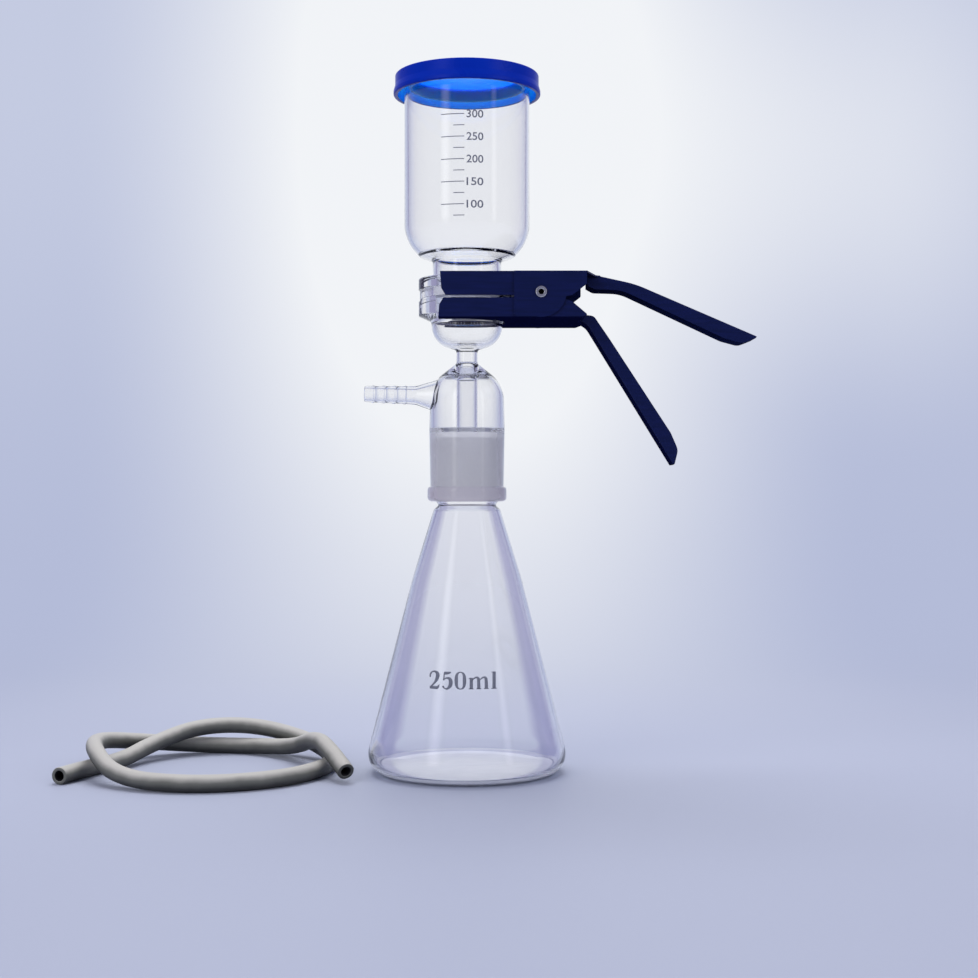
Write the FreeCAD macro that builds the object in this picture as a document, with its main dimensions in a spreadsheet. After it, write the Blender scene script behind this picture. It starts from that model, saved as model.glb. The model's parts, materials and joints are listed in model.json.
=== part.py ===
"""Vacuum filtration unit: graduated funnel cup, filter head, spring clamp, receiving flask and hose.

Millimetres, +Z up. The origin is the centre of the flask's foot, on the surface it stands on. The clamp's
handles point to +X and the hose nozzle to -X.
"""
import FreeCAD, Part
import math
import os

import Sketcher
from FreeCAD import Placement, Rotation, Vector

os.makedirs("parts", exist_ok=True)

doc = FreeCAD.newDocument("vacuum_filtration_unit")
sheet = doc.addObject("Spreadsheet::Sheet", "dims")

DIMENSIONS = {
    # receiving flask
    "flask_foot_corner": (62.5, "radius where the cone's line meets the floor"),
    "flask_heel_round": (12.0, "outer radius of the heel"),
    "flask_belt_radius": (32.8, "cone radius where its slope changes"),
    "flask_belt_height": (115.5, "height of that change"),
    "flask_cone_top_radius": (20.0, "outer radius at the top of the cone"),
    "flask_cone_top_height": (157.0, "height of the top of the cone"),
    "flask_waist_radius": (17.2, "outer radius of the short waist under the joint"),
    "flask_waist_height": (159.6, "height of the waist"),
    "flask_wall": (2.0, "glass thickness of the cone, measured level"),
    "flask_base_thick": (2.6, "glass thickness of the base"),
    "flask_foot_inset": (2.66, "how far the inner foot corner sits inside the outer one"),
    "flask_belt_round": (160.0, "outer radius of the bend where the slope changes"),
    "flask_belt_drop": (0.5, "how far the inner bend sits below the outer one"),
    "flask_top_round": (1.6, "outer rounding at the top of the cone"),
    "flask_top_drop": (0.8, "how far the inner corner there sits below the outer one"),
    "flask_waist_round": (0.8, "outer rounding of the waist"),
    "flask_waist_rise": (0.6, "how far the inner waist sits above the outer one"),
    "flask_waist_inner_round": (1.5, "inner rounding of the waist"),
    "flask_inner_round": (3.0, "inner rounding at the cone's top and under the joint"),
    # ground joint between flask and head, taper 1 in 10 on the diameter
    "joint_large_radius": (20.0, "large end of the flask's ground cone"),
    "joint_small_radius": (18.25, "small end of the flask's ground cone"),
    "joint_large_height": (164.8, "height of the large end"),
    "joint_small_height": (199.8, "height of the small end, the flask's rim"),
    "joint_wall": (2.3, "glass thickness at the ground cone"),
    "joint_clearance": (0.05, "radial gap between cone and socket"),
    "joint_slope": (0.05, "fall of the cone's radius per unit of height"),
    "ground_edge_round": (0.6, "rounding of the flask's rim"),
    # filter head
    "skirt_bottom_height": (162.0, "lower end of the socket"),
    "skirt_bottom_radius": (21.9, "outer radius of the socket above its lip"),
    "skirt_top_radius": (22.6, "outer radius at the top of the ground zone"),
    "skirt_top_height": (205.6, "top of the ground zone"),
    "lip_radius": (23.7, "outer radius of the beaded lip"),
    "lip_height": (8.6, "height of the beaded lip"),
    "lip_round": (2.6, "rounding of the beaded lip"),
    "chamber_radius": (21.9, "outer radius of the chamber under the dome"),
    "chamber_inner_radius": (19.8, "inner radius of the chamber"),
    "socket_top_height": (203.0, "height where the ground socket ends"),
    "chamber_step_height": (205.6, "height where the chamber reaches its full bore"),
    "chamber_step_round": (1.5, "rounding of that step"),
    "socket_top_round": (1.0, "rounding where the socket's taper ends"),
    "socket_mouth_round": (0.5, "rounding of the socket's mouth"),
    "skirt_round": (0.8, "rounding between the socket and its lip"),
    "dome_corner_height": (232.4, "height where wall and dome lines meet"),
    "dome_round": (19.0, "outer rounding of the dome"),
    "dome_inner_round": (14.5, "inner rounding of the dome"),
    "dome_slope": (0.784, "fall of the dome per unit of radius"),
    "dome_drop": (2.7, "drop from the dome's outer line to its inner line"),
    "seal_radius": (13.4, "radius of the thick ring of glass where the stem passes the dome"),
    "seal_under": (235.6, "height of that ring's underside at the drip tube"),
    "seal_round": (1.5, "rounding of the ring's underside"),
    "stem_radius": (6.3, "outer radius of the stem and the drip tube"),
    "stem_round": (2.0, "rounding where the stem meets the bulb and the dome"),
    "stem_bore_radius": (5.1, "bore of the stem and the drip tube"),
    "drip_tip_height": (164.0, "lower end of the drip tube"),
    "bulb_radius": (21.2, "outer radius of the bulb"),
    "bulb_corner_height": (256.6, "height where the bulb's wall and floor lines meet"),
    "bulb_floor_height": (252.6, "height where the bulb's floor meets the stem"),
    "bulb_round": (13.0, "outer rounding of the bulb"),
    "head_wall": (2.0, "glass thickness of the bulb and the dome"),
    "bulb_floor_thick": (1.8, "glass thickness of the bulb's floor"),
    "bulb_drain_round": (3.0, "inner rounding where the bulb's floor meets the bore"),
    "head_flange_radius": (28.9, "outer radius of the head's flange"),
    "head_flange_under": (272.8, "height of the flange's underside at its rim"),
    "head_flange_root": (269.5, "height of the sloped underside at the bulb"),
    "head_flange_root_round": (3.0, "rounding between underside and bulb"),
    "head_flange_rim_round": (0.8, "rounding of the flange's lower edge"),
    "head_flange_step_round": (0.6, "rounding of the flange's upper edge"),
    "head_land_under": (281.5, "height where the narrower land begins"),
    "head_land_radius": (28.2, "outer radius of the ground land"),
    "land_edge_round": (0.5, "rounding of the ground faces' edges"),
    "sealing_height": (288.3, "height of the ground faces that meet"),
    "disc_radius": (20.0, "radius of the sintered disc"),
    "disc_thick": (4.5, "thickness of the sintered disc"),
    # hose nozzle, measured along its own axis from the head's axis
    "nozzle_height": (224.6, "height where the nozzle's axis meets the head's axis"),
    "nozzle_rise": (1.7, "upward tilt in degrees"),
    "nozzle_reach": (61.5, "distance of the tip"),
    "nozzle_root_reach": (16.0, "distance of the root before the chamber is cleared"),
    "nozzle_root_radius": (10.4, "radius of the flared root"),
    "nozzle_throat_radius": (8.0, "radius of the bore at the root"),
    "nozzle_neck_reach": (30.5, "distance where the flare ends"),
    "nozzle_neck_radius": (5.4, "radius at the end of the flare"),
    "nozzle_neck_swell": (0.2, "rise of the glass at the flare's end"),
    "nozzle_neck_round": (7.0, "rounding of the flare's end"),
    "nozzle_tip_round": (0.9, "rounding of the tip"),
    "nozzle_tip_radius": (4.8, "radius at the tip"),
    "nozzle_bore_radius": (3.4, "bore"),
    "nozzle_bore_round": (6.0, "rounding where the bore widens into the root"),
    "ridge_first_reach": (36.2, "distance of the first ridge"),
    "ridge_pitch": (6.4, "spacing of the ridges"),
    "ridge_length": (2.6, "length of one ridge"),
    "ridge_rise": (0.35, "rise of one ridge"),
    "ridge_crest": (0.6, "distance from a ridge's step to its crest"),
    "ridge_round": (0.6, "rounding of the crest"),
    "ridge_count": (4, "ridges on the nozzle"),
    # funnel cup
    "cup_radius": (37.5, "outer radius of the cup"),
    "cup_inner_radius": (35.0, "inner radius of the cup"),
    "cup_rim_height": (413.8, "height of the rim"),
    "cup_neck_radius": (20.5, "outer radius of the neck"),
    "cup_neck_bore": (18.0, "bore of the neck"),
    "cup_slope": (1.11, "rise of the funnel floor per unit of radius"),
    "cup_shoulder_radius": (28.2, "radius where the funnel floor meets the flatter shoulder"),
    "cup_shoulder_height": (308.4, "height of that bend"),
    "cup_shoulder_round": (2.0, "rounding of that bend"),
    "cup_shoulder_foot": (305.8, "height where the shoulder meets the neck"),
    "cup_inner_shoulder_radius": (27.2, "radius of the inner bend"),
    "cup_inner_shoulder_height": (311.0, "height of the inner bend"),
    "cup_inner_shoulder_round": (3.0, "rounding of the inner bend"),
    "cup_inner_shoulder_foot": (308.0, "height where the inner shoulder meets the bore"),
    "cup_round": (22.0, "outer rounding between floor and wall"),
    "cup_neck_round": (1.5, "outer rounding between neck and shoulder"),
    "cup_neck_inner_round": (2.0, "the same, inside"),
    "cup_rim_round": (0.9, "rounding of the rim and of the flange's upper edge"),
    "cup_flange_root_round": (1.6, "rounding between flange and neck"),
    "cup_flange_radius": (29.0, "outer radius of the ground flange"),
    "cup_flange_top": (295.0, "height of the flange's upper face"),
    # lid
    "lid_top_height": (416.8, "height of the lid's top face"),
    "lid_skirt_radius": (43.0, "outer radius of the skirt under the top"),
    "lid_flare_radius": (44.0, "outer radius of the skirt's flared foot"),
    "lid_flare_height": (407.2, "height where the flare reaches its full radius"),
    "lid_flare_top": (410.6, "height where the flare begins"),
    "lid_skirt_bottom": (404.8, "lower end of the skirt"),
    "lid_skirt_inner": (41.4, "inner radius of the skirt"),
    "lid_seat_height": (414.1, "underside of the top over the cup's rim"),
    "lid_plug_radius": (34.6, "outer radius of the plug ring"),
    "lid_plug_inner": (32.6, "inner radius of the plug ring"),
    "lid_plug_bottom": (407.6, "lower end of the plug ring"),
    "lid_centre_under": (414.9, "underside of the top inside the plug ring"),
    "lid_top_round": (0.8, "rounding of the top's edge"),
    "lid_edge_round": (0.6, "rounding of the skirt's and the seat's corners"),
    "lid_plug_round": (0.7, "rounding of the plug ring's foot"),
    "lid_foot_round": (0.9, "rounding of the foot's lower edge"),
    "lid_flare_round": (2.0, "rounding of the flare's full radius"),
    "lid_flare_root_round": (3.0, "rounding where the flare begins"),
    # clamp, both halves
    "sheet_thick": (1.0, "thickness of the folded sheet"),
    "cut_past": (5.0, "how far a cut's tool runs past the piece"),
    "clamp_half_width": (31.2, "half the width across the jaws"),
    "ear_gap": (0.25, "gap between the inner and the outer ears"),
    "clamp_top": (296.1, "height of the upper jaw's top face"),
    "clamp_bottom": (269.0, "height of the lower jaw's underside"),
    "jaw_reach": (15.3, "reach of the upper jaw past the unit's axis"),
    "jaw_lower_reach": (16.3, "reach of the lower jaw"),
    "jaw_slit_top": (282.1, "lower edge of the upper cheek"),
    "jaw_slit_bottom": (280.6, "upper edge of the lower cheek"),
    "jaw_chamfer_height": (4.0, "height of the chamfers at the jaws' ends"),
    "jaw_chamfer_length": (2.4, "length of the chamfers at the jaws' ends"),
    "jaw_upper_lean": (0.8, "lean of the upper jaw's end"),
    "jaw_lower_lean": (0.6, "lean of the lower jaw's end"),
    "fork_half_width": (22.9, "half the opening of the forked jaws"),
    "ear_start": (27.8, "where the outer ears step outwards"),
    "ear_corner_round": (2.0, "rounding of the cheek's lower corner"),
    "ear_bottom_rise": (0.4, "how far the outer ears end above the underside"),
    "ear_outer_round": (14.7, "radius of the outer ears about the pivot"),
    "ear_blend_drop": (2.6, "drop from the pivot to where the ear meets the notch"),
    "ear_blend_reach": (0.98, "reach of that point, as a share of the ear's radius"),
    "ear_inner_round": (9.6, "radius of the inner ears about the pivot"),
    "ear_foot_reach": (1.25, "reach of the inner ear's foot, as a share of its radius"),
    "ear_shoulder_reach": (0.95, "reach of its shoulders, as a share of its radius"),
    "ear_shoulder_rise": (1.0, "rise of its shoulders over the cheek"),
    "pivot_reach": (43.5, "distance of the pivot from the unit's axis"),
    "pivot_height": (283.8, "height of the pivot"),
    "body_end": (70.0, "where the wide body of the clamp ends"),
    "notch_reach": (61.5, "where the notch between the halves begins"),
    "notch_top": (281.8, "upper half's edge at the notch"),
    "notch_bottom": (278.3, "lower half's edge at the notch"),
    "body_end_top": (288.4, "upper half's edge where the body ends"),
    "body_end_round": (1.5, "rounding of the upper half's edge there"),
    "notch_upper_round": (1.0, "rounding of the notch in the upper half"),
    "notch_lower_round": (2.0, "rounding of the notch in the lower half"),
    "lower_end_overhang": (0.6, "how far the lower half's side walls pass the body's end"),
    "lower_end_rise": (1.6, "height of that end over the underside"),
    "lower_end_round": (0.6, "rounding of that end"),
    "shoulder_overlap": (2.0, "how far the shoulder plate runs into the body"),
    "shoulder_round": (2.0, "plan rounding where the shoulder leaves the body"),
    "shoulder_neck_round": (3.0, "plan rounding where the shoulder meets the handle"),
    "shoulder_neck_back": (0.6, "how far that corner lies before the handle's bend"),
    "shoulder_past": (0.4, "how far the shoulder plate runs past the bend"),
    "fold_round": (0.8, "outer radius of the folds"),
    # handles, as stations along the outer face
    "handle_half_width": (10.0, "half the width of the handles"),
    "upper_bend_reach": (77.6, "where the upper handle bends down"),
    "upper_first_angle": (12.4, "slope of its first stretch in degrees"),
    "upper_first_length": (23.0, "length of its first stretch"),
    "upper_second_angle": (23.3, "slope of its long stretch in degrees"),
    "upper_second_length": (78.6, "length of its long stretch"),
    "lower_bend_reach": (70.2, "where the lower handle bends down"),
    "lower_angle": (58.5, "slope of the lower handle in degrees"),
    "lower_length": (100.1, "length of the lower handle"),
    "lower_plate_end": (66.5, "where the lower jaw's wide plate ends"),
    "upper_root_depth": (8.4, "depth of the upper handle's side wall at the bend"),
    "upper_thin_depth": (5.4, "depth a little further, where it is lowest"),
    "upper_bend_round": (6.0, "outer radius of the upper handle's bend"),
    "lower_root_depth": (6.1, "depth of the lower handle's side wall at the bend"),
    "lower_thin_depth": (6.9, "depth a little further"),
    "lower_bend_round": (10.0, "outer radius of the lower handle's bend"),
    "handle_grip_depth": (8.4, "depth where the hand grips"),
    "handle_tip_length": (17.0, "length over which the side wall runs out"),
    "handle_root": (6.0, "length of the handle inside the clamp's body"),
    "handle_root_share": (0.7, "side wall's depth there, as a share of the depth at the bend"),
    "handle_root_round": (4.0, "rounding of the side wall's edge at the bend"),
    "handle_thin_reach": (16.0, "distance from the bend to the point given above"),
    "handle_thin_round": (24.0, "rounding of the side wall's edge there"),
    "handle_grip_swell": (0.4, "extra depth of the side wall before the tip"),
    "handle_grip_round": (14.0, "rounding of the side wall's edge before the tip"),
    "handle_near_tip": (0.36, "share of the tip's length where the side wall turns in"),
    "handle_near_share": (0.86, "side wall's depth there, as a share of the grip's"),
    "handle_near_round": (7.0, "rounding of the side wall's edge there"),
    "handle_tip_depth": (1.1, "depth of the side wall at the very tip"),
    "handle_kink_round": (60.0, "outer radius of the bend along the upper handle"),
    "handle_hollow_depth": (14.0, "depth of the tool that hollows the channel"),
    # rivet and spring
    "rivet_radius": (2.5, "radius of the rivet's shank"),
    "rivet_bore": (1.5, "bore of the tubular rivet"),
    "rivet_clearance": (0.05, "radial gap in the outer ears"),
    "rivet_head_radius": (3.4, "radius of the rivet's heads"),
    "rivet_head_thick": (1.0, "thickness of the rivet's heads"),
    "rivet_head_gap": (0.1, "gap under the rivet's heads"),
    "rivet_head_round": (0.6, "outer rounding of the rivet's heads"),
    "rivet_mouth_round": (0.5, "rounding of the rivet's bore"),
    "spring_wire": (1.8, "diameter of the spring wire"),
    "spring_radius": (4.1, "mean radius of the coil"),
    "spring_pitch": (2.1, "distance between turns"),
    "spring_turns": (7, "whole turns"),
    "spring_upper_slope": (15.0, "slope of the upper leg in degrees"),
    "spring_lower_slope": (24.0, "slope of the lower leg in degrees"),
    "spring_upper_leg": (22.5, "length of the upper leg"),
    "spring_lower_leg": (21.5, "length of the lower leg"),
    # hose
    "hose_radius": (5.0, "outer radius of the hose"),
    "hose_crossing": (18.0, "height of the hose's axis where it passes over itself"),
}

for row, (alias, (value, note)) in enumerate(DIMENSIONS.items(), start=1):
    sheet.set(f"A{row}", alias)
    sheet.set(f"B{row}", str(value))
    sheet.setAlias(f"B{row}", alias)
    sheet.set(f"C{row}", note)
doc.recompute()


class Size:
    """A length, kept with the formula that works it out from the sheet."""

    def __init__(self, value, formula=None):
        self.value = float(value)
        self.formula = formula or repr(float(value))

    def __add__(self, other):
        other = as_size(other)
        return Size(self.value + other.value, f"({self.formula} + {other.formula})")

    def __sub__(self, other):
        other = as_size(other)
        return Size(self.value - other.value, f"({self.formula} - {other.formula})")

    def __mul__(self, other):
        other = as_size(other)
        return Size(self.value * other.value, f"({self.formula} * {other.formula})")

    def __neg__(self):
        return Size(-self.value, f"(-1 * {self.formula})")


def as_size(number):
    return number if isinstance(number, Size) else Size(number)


def dim(alias):
    return Size(DIMENSIONS[alias][0], f"dims.{alias}")


def sine(angle):
    return Size(math.sin(math.radians(angle.value)), f"sin({angle.formula})")


def cosine(angle):
    return Size(math.cos(math.radians(angle.value)), f"cos({angle.formula})")


# ---------------------------------------------------------------- sketches and features

TOUCHING = 1e-6
SKETCH_ORIGIN = (-1, 1)
HORIZONTAL_AXIS = -1
VERTICAL_AXIS = -2


def new_body(label):
    body = doc.addObject("PartDesign::Body", label)
    body.Label = label
    return body


def new_sketch(body, name, plane):
    sketch = body.newObject("Sketcher::SketchObject", name)
    plane_feature = next(f for f in body.Origin.OriginFeatures if f.Role == plane)
    sketch.AttachmentSupport = [(plane_feature, "")]
    sketch.MapMode = "FlatFace"
    return sketch


def place_point(sketch, geometry, end, x, y):
    """Tie one point of the sketch to the formulas of its two coordinates."""
    for kind, size, axis in (("DistanceX", x, VERTICAL_AXIS), ("DistanceY", y, HORIZONTAL_AXIS)):
        if size.value == 0:
            sketch.addConstraint(Sketcher.Constraint("PointOnObject", geometry, end, axis))
            continue
        first, second = SKETCH_ORIGIN, (geometry, end)
        if size.value < 0:
            size, first, second = -size, second, first
        index = sketch.addConstraint(Sketcher.Constraint(kind, *first, *second, size.value))
        sketch.setExpression(f"Constraints[{index}]", size.formula)


def outline(sketch, corners):
    """Draw a closed outline through corners (x, y) or (x, y, rounding)."""
    points = [(as_size(c[0]), as_size(c[1])) for c in corners]
    rounds = [as_size(c[2]) if len(c) > 2 else None for c in corners]
    spots = [Vector(x.value, y.value, 0) for x, y in points]
    count = len(spots)
    arrive, leave, arcs = [], [], []
    for i, spot in enumerate(spots):
        if rounds[i] is None:
            arrive.append(spot)
            leave.append(spot)
            arcs.append(None)
            continue
        back = (spots[i - 1] - spot).normalize()
        ahead = (spots[(i + 1) % count] - spot).normalize()
        half = back.getAngle(ahead) / 2
        radius = rounds[i].value
        start = spot + back * (radius / math.tan(half))
        stop = spot + ahead * (radius / math.tan(half))
        centre = spot + (back + ahead).normalize() * (radius / math.sin(half))
        turns_left = back.cross(ahead).z < 0
        first, last = (start, stop) if turns_left else (stop, start)
        angles = [math.atan2(p.y - centre.y, p.x - centre.x) for p in (first, last)]
        if angles[1] < angles[0]:
            angles[1] += 2 * math.pi
        arcs.append((Part.ArcOfCircle(Part.Circle(centre, Vector(0, 0, 1), radius), *angles), turns_left))
        arrive.append(start)
        leave.append(stop)
    edges = [Part.LineSegment(leave[i], arrive[(i + 1) % count]) for i in range(count)]
    offset = sketch.GeometryCount
    sketch.addGeometry(edges, False)
    for i in range(count):
        incoming, outgoing = offset + (i - 1) % count, offset + i
        if arcs[i] is None:
            sketch.addConstraint(Sketcher.Constraint("Coincident", incoming, 2, outgoing, 1))
            place_point(sketch, outgoing, 1, *points[i])
            continue
        arc, turns_left = arcs[i]
        arc_index = sketch.addGeometry(arc, False)
        corner_index = sketch.addGeometry(Part.Point(spots[i]), True)
        place_point(sketch, corner_index, 1, *points[i])
        arc_first, arc_last = (1, 2) if turns_left else (2, 1)
        sketch.addConstraint([
            Sketcher.Constraint("PointOnObject", corner_index, 1, incoming),
            Sketcher.Constraint("PointOnObject", corner_index, 1, outgoing),
            Sketcher.Constraint("Tangent", incoming, 2, arc_index, arc_first),
            Sketcher.Constraint("Tangent", arc_index, arc_last, outgoing, 1),
        ])
        index = sketch.addConstraint(Sketcher.Constraint("Radius", arc_index, rounds[i].value))
        sketch.setExpression(f"Constraints[{index}]", rounds[i].formula)


def circle(sketch, x, y, radius):
    centre = Vector(as_size(x).value, as_size(y).value, 0)
    index = sketch.addGeometry(Part.Circle(centre, Vector(0, 0, 1), radius.value), False)
    place_point(sketch, index, 3, as_size(x), as_size(y))
    size = sketch.addConstraint(Sketcher.Constraint("Radius", index, radius.value))
    sketch.setExpression(f"Constraints[{size}]", radius.formula)


def turn(body, name, corners):
    """Add the solid that a half section makes turned about the Z axis."""
    sketch = new_sketch(body, name + "_section", "XZ_Plane")
    outline(sketch, corners)
    feature = body.newObject("PartDesign::Revolution", name)
    feature.Profile = sketch
    feature.ReferenceAxis = (sketch, ["V_Axis"])
    feature.Angle = 360
    return feature


def across(body, kind, name, width, corners=None, disc=None):
    """Pad or pocket a side view (X, Z), equally to both sides of the XZ plane."""
    sketch = new_sketch(body, name + "_view", "XZ_Plane")
    if corners:
        outline(sketch, corners)
    if disc:
        circle(sketch, *disc)
    feature = body.newObject(kind, name)
    feature.Profile = sketch
    feature.SideType = "Symmetric"
    feature.setExpression("Length", width.formula)
    return feature


def expect(feature, grows):
    """Stop if a feature didn't change its body's volume the way it should."""
    doc.recompute()
    before = feature.BaseFeature.Shape.Volume if feature.BaseFeature else 0.0
    change = feature.Shape.Volume - before
    if (change > 0) != grows or abs(change) < 1e-3:
        raise RuntimeError(f"{feature.Name} changed the volume by {change:.3f} mm3")


def round_edges(body, name, base, radius, wanted):
    """Round the edges of a feature that the test picks."""
    doc.recompute()
    names = [f"Edge{i}" for i, edge in enumerate(base.Shape.Edges, start=1) if wanted(edge)]
    if not names:
        raise RuntimeError(f"{name} found no edge to round")
    feature = body.newObject("PartDesign::Fillet", name)
    feature.Base = (base, names)
    feature.setExpression("Radius", radius.formula)
    return feature


# ---------------------------------------------------------------- receiving flask

def receiving_flask():
    wall = dim("flask_wall")
    base = dim("flask_base_thick")
    rim_round = dim("ground_edge_round")
    inner_round = dim("flask_inner_round")
    large, small = dim("joint_large_radius"), dim("joint_small_radius")
    joint_wall = dim("joint_wall")
    body = new_body("receiving_flask")
    turn(body, "flask_glass", [
        (0, 0),
        (dim("flask_foot_corner"), 0, dim("flask_heel_round")),
        (dim("flask_belt_radius"), dim("flask_belt_height"), dim("flask_belt_round")),
        (dim("flask_cone_top_radius"), dim("flask_cone_top_height"), dim("flask_top_round")),
        (dim("flask_waist_radius"), dim("flask_waist_height"), dim("flask_waist_round")),
        (large, dim("joint_large_height")),
        (small, dim("joint_small_height"), rim_round),
        (small - joint_wall, dim("joint_small_height"), rim_round),
        (large - joint_wall, dim("joint_large_height"), inner_round),
        (dim("flask_waist_radius") - wall, dim("flask_waist_height") + dim("flask_waist_rise"),
         dim("flask_waist_inner_round")),
        (dim("flask_cone_top_radius") - wall, dim("flask_cone_top_height") - dim("flask_top_drop"),
         inner_round),
        (dim("flask_belt_radius") - wall, dim("flask_belt_height") - dim("flask_belt_drop"),
         dim("flask_belt_round") - wall),
        (dim("flask_foot_corner") - dim("flask_foot_inset"), base, dim("flask_heel_round") - wall),
        (0, base),
    ])
    return body


# ---------------------------------------------------------------- filter head

def nozzle_axis(sketch):
    """Draw the nozzle's tilted axis as the sketch's first construction line."""
    reach = dim("nozzle_reach")
    far_x = -(reach * cosine(dim("nozzle_rise")))
    far_z = dim("nozzle_height") + reach * sine(dim("nozzle_rise"))
    near = Vector(0, dim("nozzle_height").value, 0)
    line = sketch.addGeometry(Part.LineSegment(near, Vector(far_x.value, far_z.value, 0)), True)
    place_point(sketch, line, 1, Size(0), dim("nozzle_height"))
    place_point(sketch, line, 2, far_x, far_z)


def along_nozzle(reach, radius):
    """A point at a distance along the nozzle's axis and a radius above it."""
    tilt = dim("nozzle_rise")
    reach, radius = as_size(reach), as_size(radius)
    x = -(reach * cosine(tilt)) + radius * sine(tilt)
    z = dim("nozzle_height") + reach * sine(tilt) + radius * cosine(tilt)
    return x, z


def nozzle_section():
    """Half section of the nozzle, from the flared root over the ridges to the tip."""
    neck_reach, neck = dim("nozzle_neck_reach"), dim("nozzle_neck_radius")
    taper = (neck.value - dim("nozzle_tip_radius").value) / (dim("nozzle_reach").value - neck_reach.value)
    section = [
        along_nozzle(dim("nozzle_root_reach"), 0),
        along_nozzle(dim("nozzle_root_reach"), dim("nozzle_root_radius")),
        (*along_nozzle(neck_reach, neck + dim("nozzle_neck_swell")), dim("nozzle_neck_round")),
    ]
    for ridge in range(DIMENSIONS["ridge_count"][0]):
        start = dim("ridge_first_reach") + dim("ridge_pitch") * ridge
        stop = start + dim("ridge_length")
        foot = neck - (start - neck_reach) * taper
        toe = neck - (stop - neck_reach) * taper
        section += [
            along_nozzle(start, foot),
            (*along_nozzle(start + dim("ridge_crest"), foot + dim("ridge_rise")), dim("ridge_round")),
            along_nozzle(stop, toe),
        ]
    return section + [
        (*along_nozzle(dim("nozzle_reach"), dim("nozzle_tip_radius")), dim("nozzle_tip_round")),
        along_nozzle(dim("nozzle_reach"), 0),
    ]


def nozzle_bore_section():
    """Half section of the nozzle's bore, which widens into the chamber."""
    bore, throat = dim("nozzle_bore_radius"), dim("nozzle_throat_radius")
    inner_end = dim("nozzle_root_reach") - 1.0
    outer_end = dim("nozzle_reach") + dim("cut_past")
    return [
        along_nozzle(inner_end, 0),
        along_nozzle(inner_end, throat),
        (*along_nozzle(dim("nozzle_neck_reach"), bore), dim("nozzle_bore_round")),
        along_nozzle(outer_end, bore),
        along_nozzle(outer_end, 0),
    ]


def add_nozzle(body, chamber_section):
    """Add the nozzle, clear what of its root stands in the chamber, and open its bore."""
    for kind, name, section, axis, grows in (
        ("PartDesign::Revolution", "nozzle", nozzle_section(), "Axis0", True),
        ("PartDesign::Groove", "chamber_clearing", chamber_section, "V_Axis", False),
        ("PartDesign::Groove", "nozzle_bore", nozzle_bore_section(), "Axis0", False),
    ):
        sketch = new_sketch(body, name + "_section", "XZ_Plane")
        nozzle_axis(sketch)
        outline(sketch, section)
        feature = body.newObject(kind, name)
        feature.Profile = sketch
        feature.ReferenceAxis = (sketch, [axis])
        feature.Angle = 360
        expect(feature, grows)


def filter_head():
    stem, bore, stem_round = dim("stem_radius"), dim("stem_bore_radius"), dim("stem_round")
    slope, wall = dim("dome_slope"), dim("head_wall")
    lip_bottom = dim("skirt_bottom_height")
    lip_top = lip_bottom + dim("lip_height")
    dome_line = dim("dome_corner_height") + slope * dim("chamber_radius")
    dome_inner_line = dome_line - dim("dome_drop")
    bulb_bore = dim("bulb_radius") - wall
    bulb_floor = dim("bulb_floor_thick")
    large_end = dim("joint_large_radius") + dim("joint_clearance")
    mouth = large_end + (dim("joint_large_height") - lip_bottom) * dim("joint_slope")
    socket_top = large_end - (dim("socket_top_height") - dim("joint_large_height")) * dim("joint_slope")
    chamber_bore = dim("chamber_inner_radius")
    chamber_corner = (chamber_bore, dome_inner_line - slope * chamber_bore, dim("dome_inner_round"))
    seal_edge = (dim("seal_radius"), dome_inner_line - slope * dim("seal_radius"))
    disc_under = dim("sealing_height") - dim("disc_thick")
    body = new_body("filter_head")
    turn(body, "head_glass", [
        (bore, dim("drip_tip_height")),
        (bore, dim("bulb_floor_height") + bulb_floor, dim("bulb_drain_round")),
        (bulb_bore, dim("bulb_corner_height") + bulb_floor, dim("bulb_round") - wall),
        (bulb_bore, disc_under),
        (dim("disc_radius"), disc_under),
        (dim("disc_radius"), dim("sealing_height")),
        (dim("head_land_radius"), dim("sealing_height"), dim("land_edge_round")),
        (dim("head_land_radius"), dim("head_land_under")),
        (dim("head_flange_radius"), dim("head_land_under"), dim("head_flange_step_round")),
        (dim("head_flange_radius"), dim("head_flange_under"), dim("head_flange_rim_round")),
        (dim("bulb_radius"), dim("head_flange_root"), dim("head_flange_root_round")),
        (dim("bulb_radius"), dim("bulb_corner_height"), dim("bulb_round")),
        (stem, dim("bulb_floor_height"), stem_round),
        (stem, dome_line - slope * stem, stem_round),
        (dim("chamber_radius"), dim("dome_corner_height"), dim("dome_round")),
        (dim("skirt_top_radius"), dim("skirt_top_height")),
        (dim("skirt_bottom_radius"), lip_top, dim("skirt_round")),
        (dim("lip_radius"), lip_top, dim("lip_round")),
        (dim("lip_radius"), lip_bottom, dim("lip_round")),
        (mouth, lip_bottom, dim("socket_mouth_round")),
        (socket_top, dim("socket_top_height"), dim("socket_top_round")),
        (chamber_bore, dim("chamber_step_height"), dim("chamber_step_round")),
        chamber_corner,
        (*seal_edge, dim("seal_round")),
        (stem, dim("seal_under"), dim("seal_round")),
        (stem, dim("drip_tip_height")),
    ])
    chamber_floor = dim("chamber_step_height") + dim("cut_past")
    add_nozzle(body, [
        (seal_edge[0], chamber_floor),
        (chamber_bore, chamber_floor),
        chamber_corner,
        seal_edge,
    ])
    return body


def sintered_disc():
    body = new_body("sintered_disc")
    bottom = dim("sealing_height") - dim("disc_thick")
    turn(body, "disc", [
        (0, bottom),
        (dim("disc_radius"), bottom),
        (dim("disc_radius"), dim("sealing_height")),
        (0, dim("sealing_height")),
    ])
    return body


# ---------------------------------------------------------------- funnel cup and lid

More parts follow.
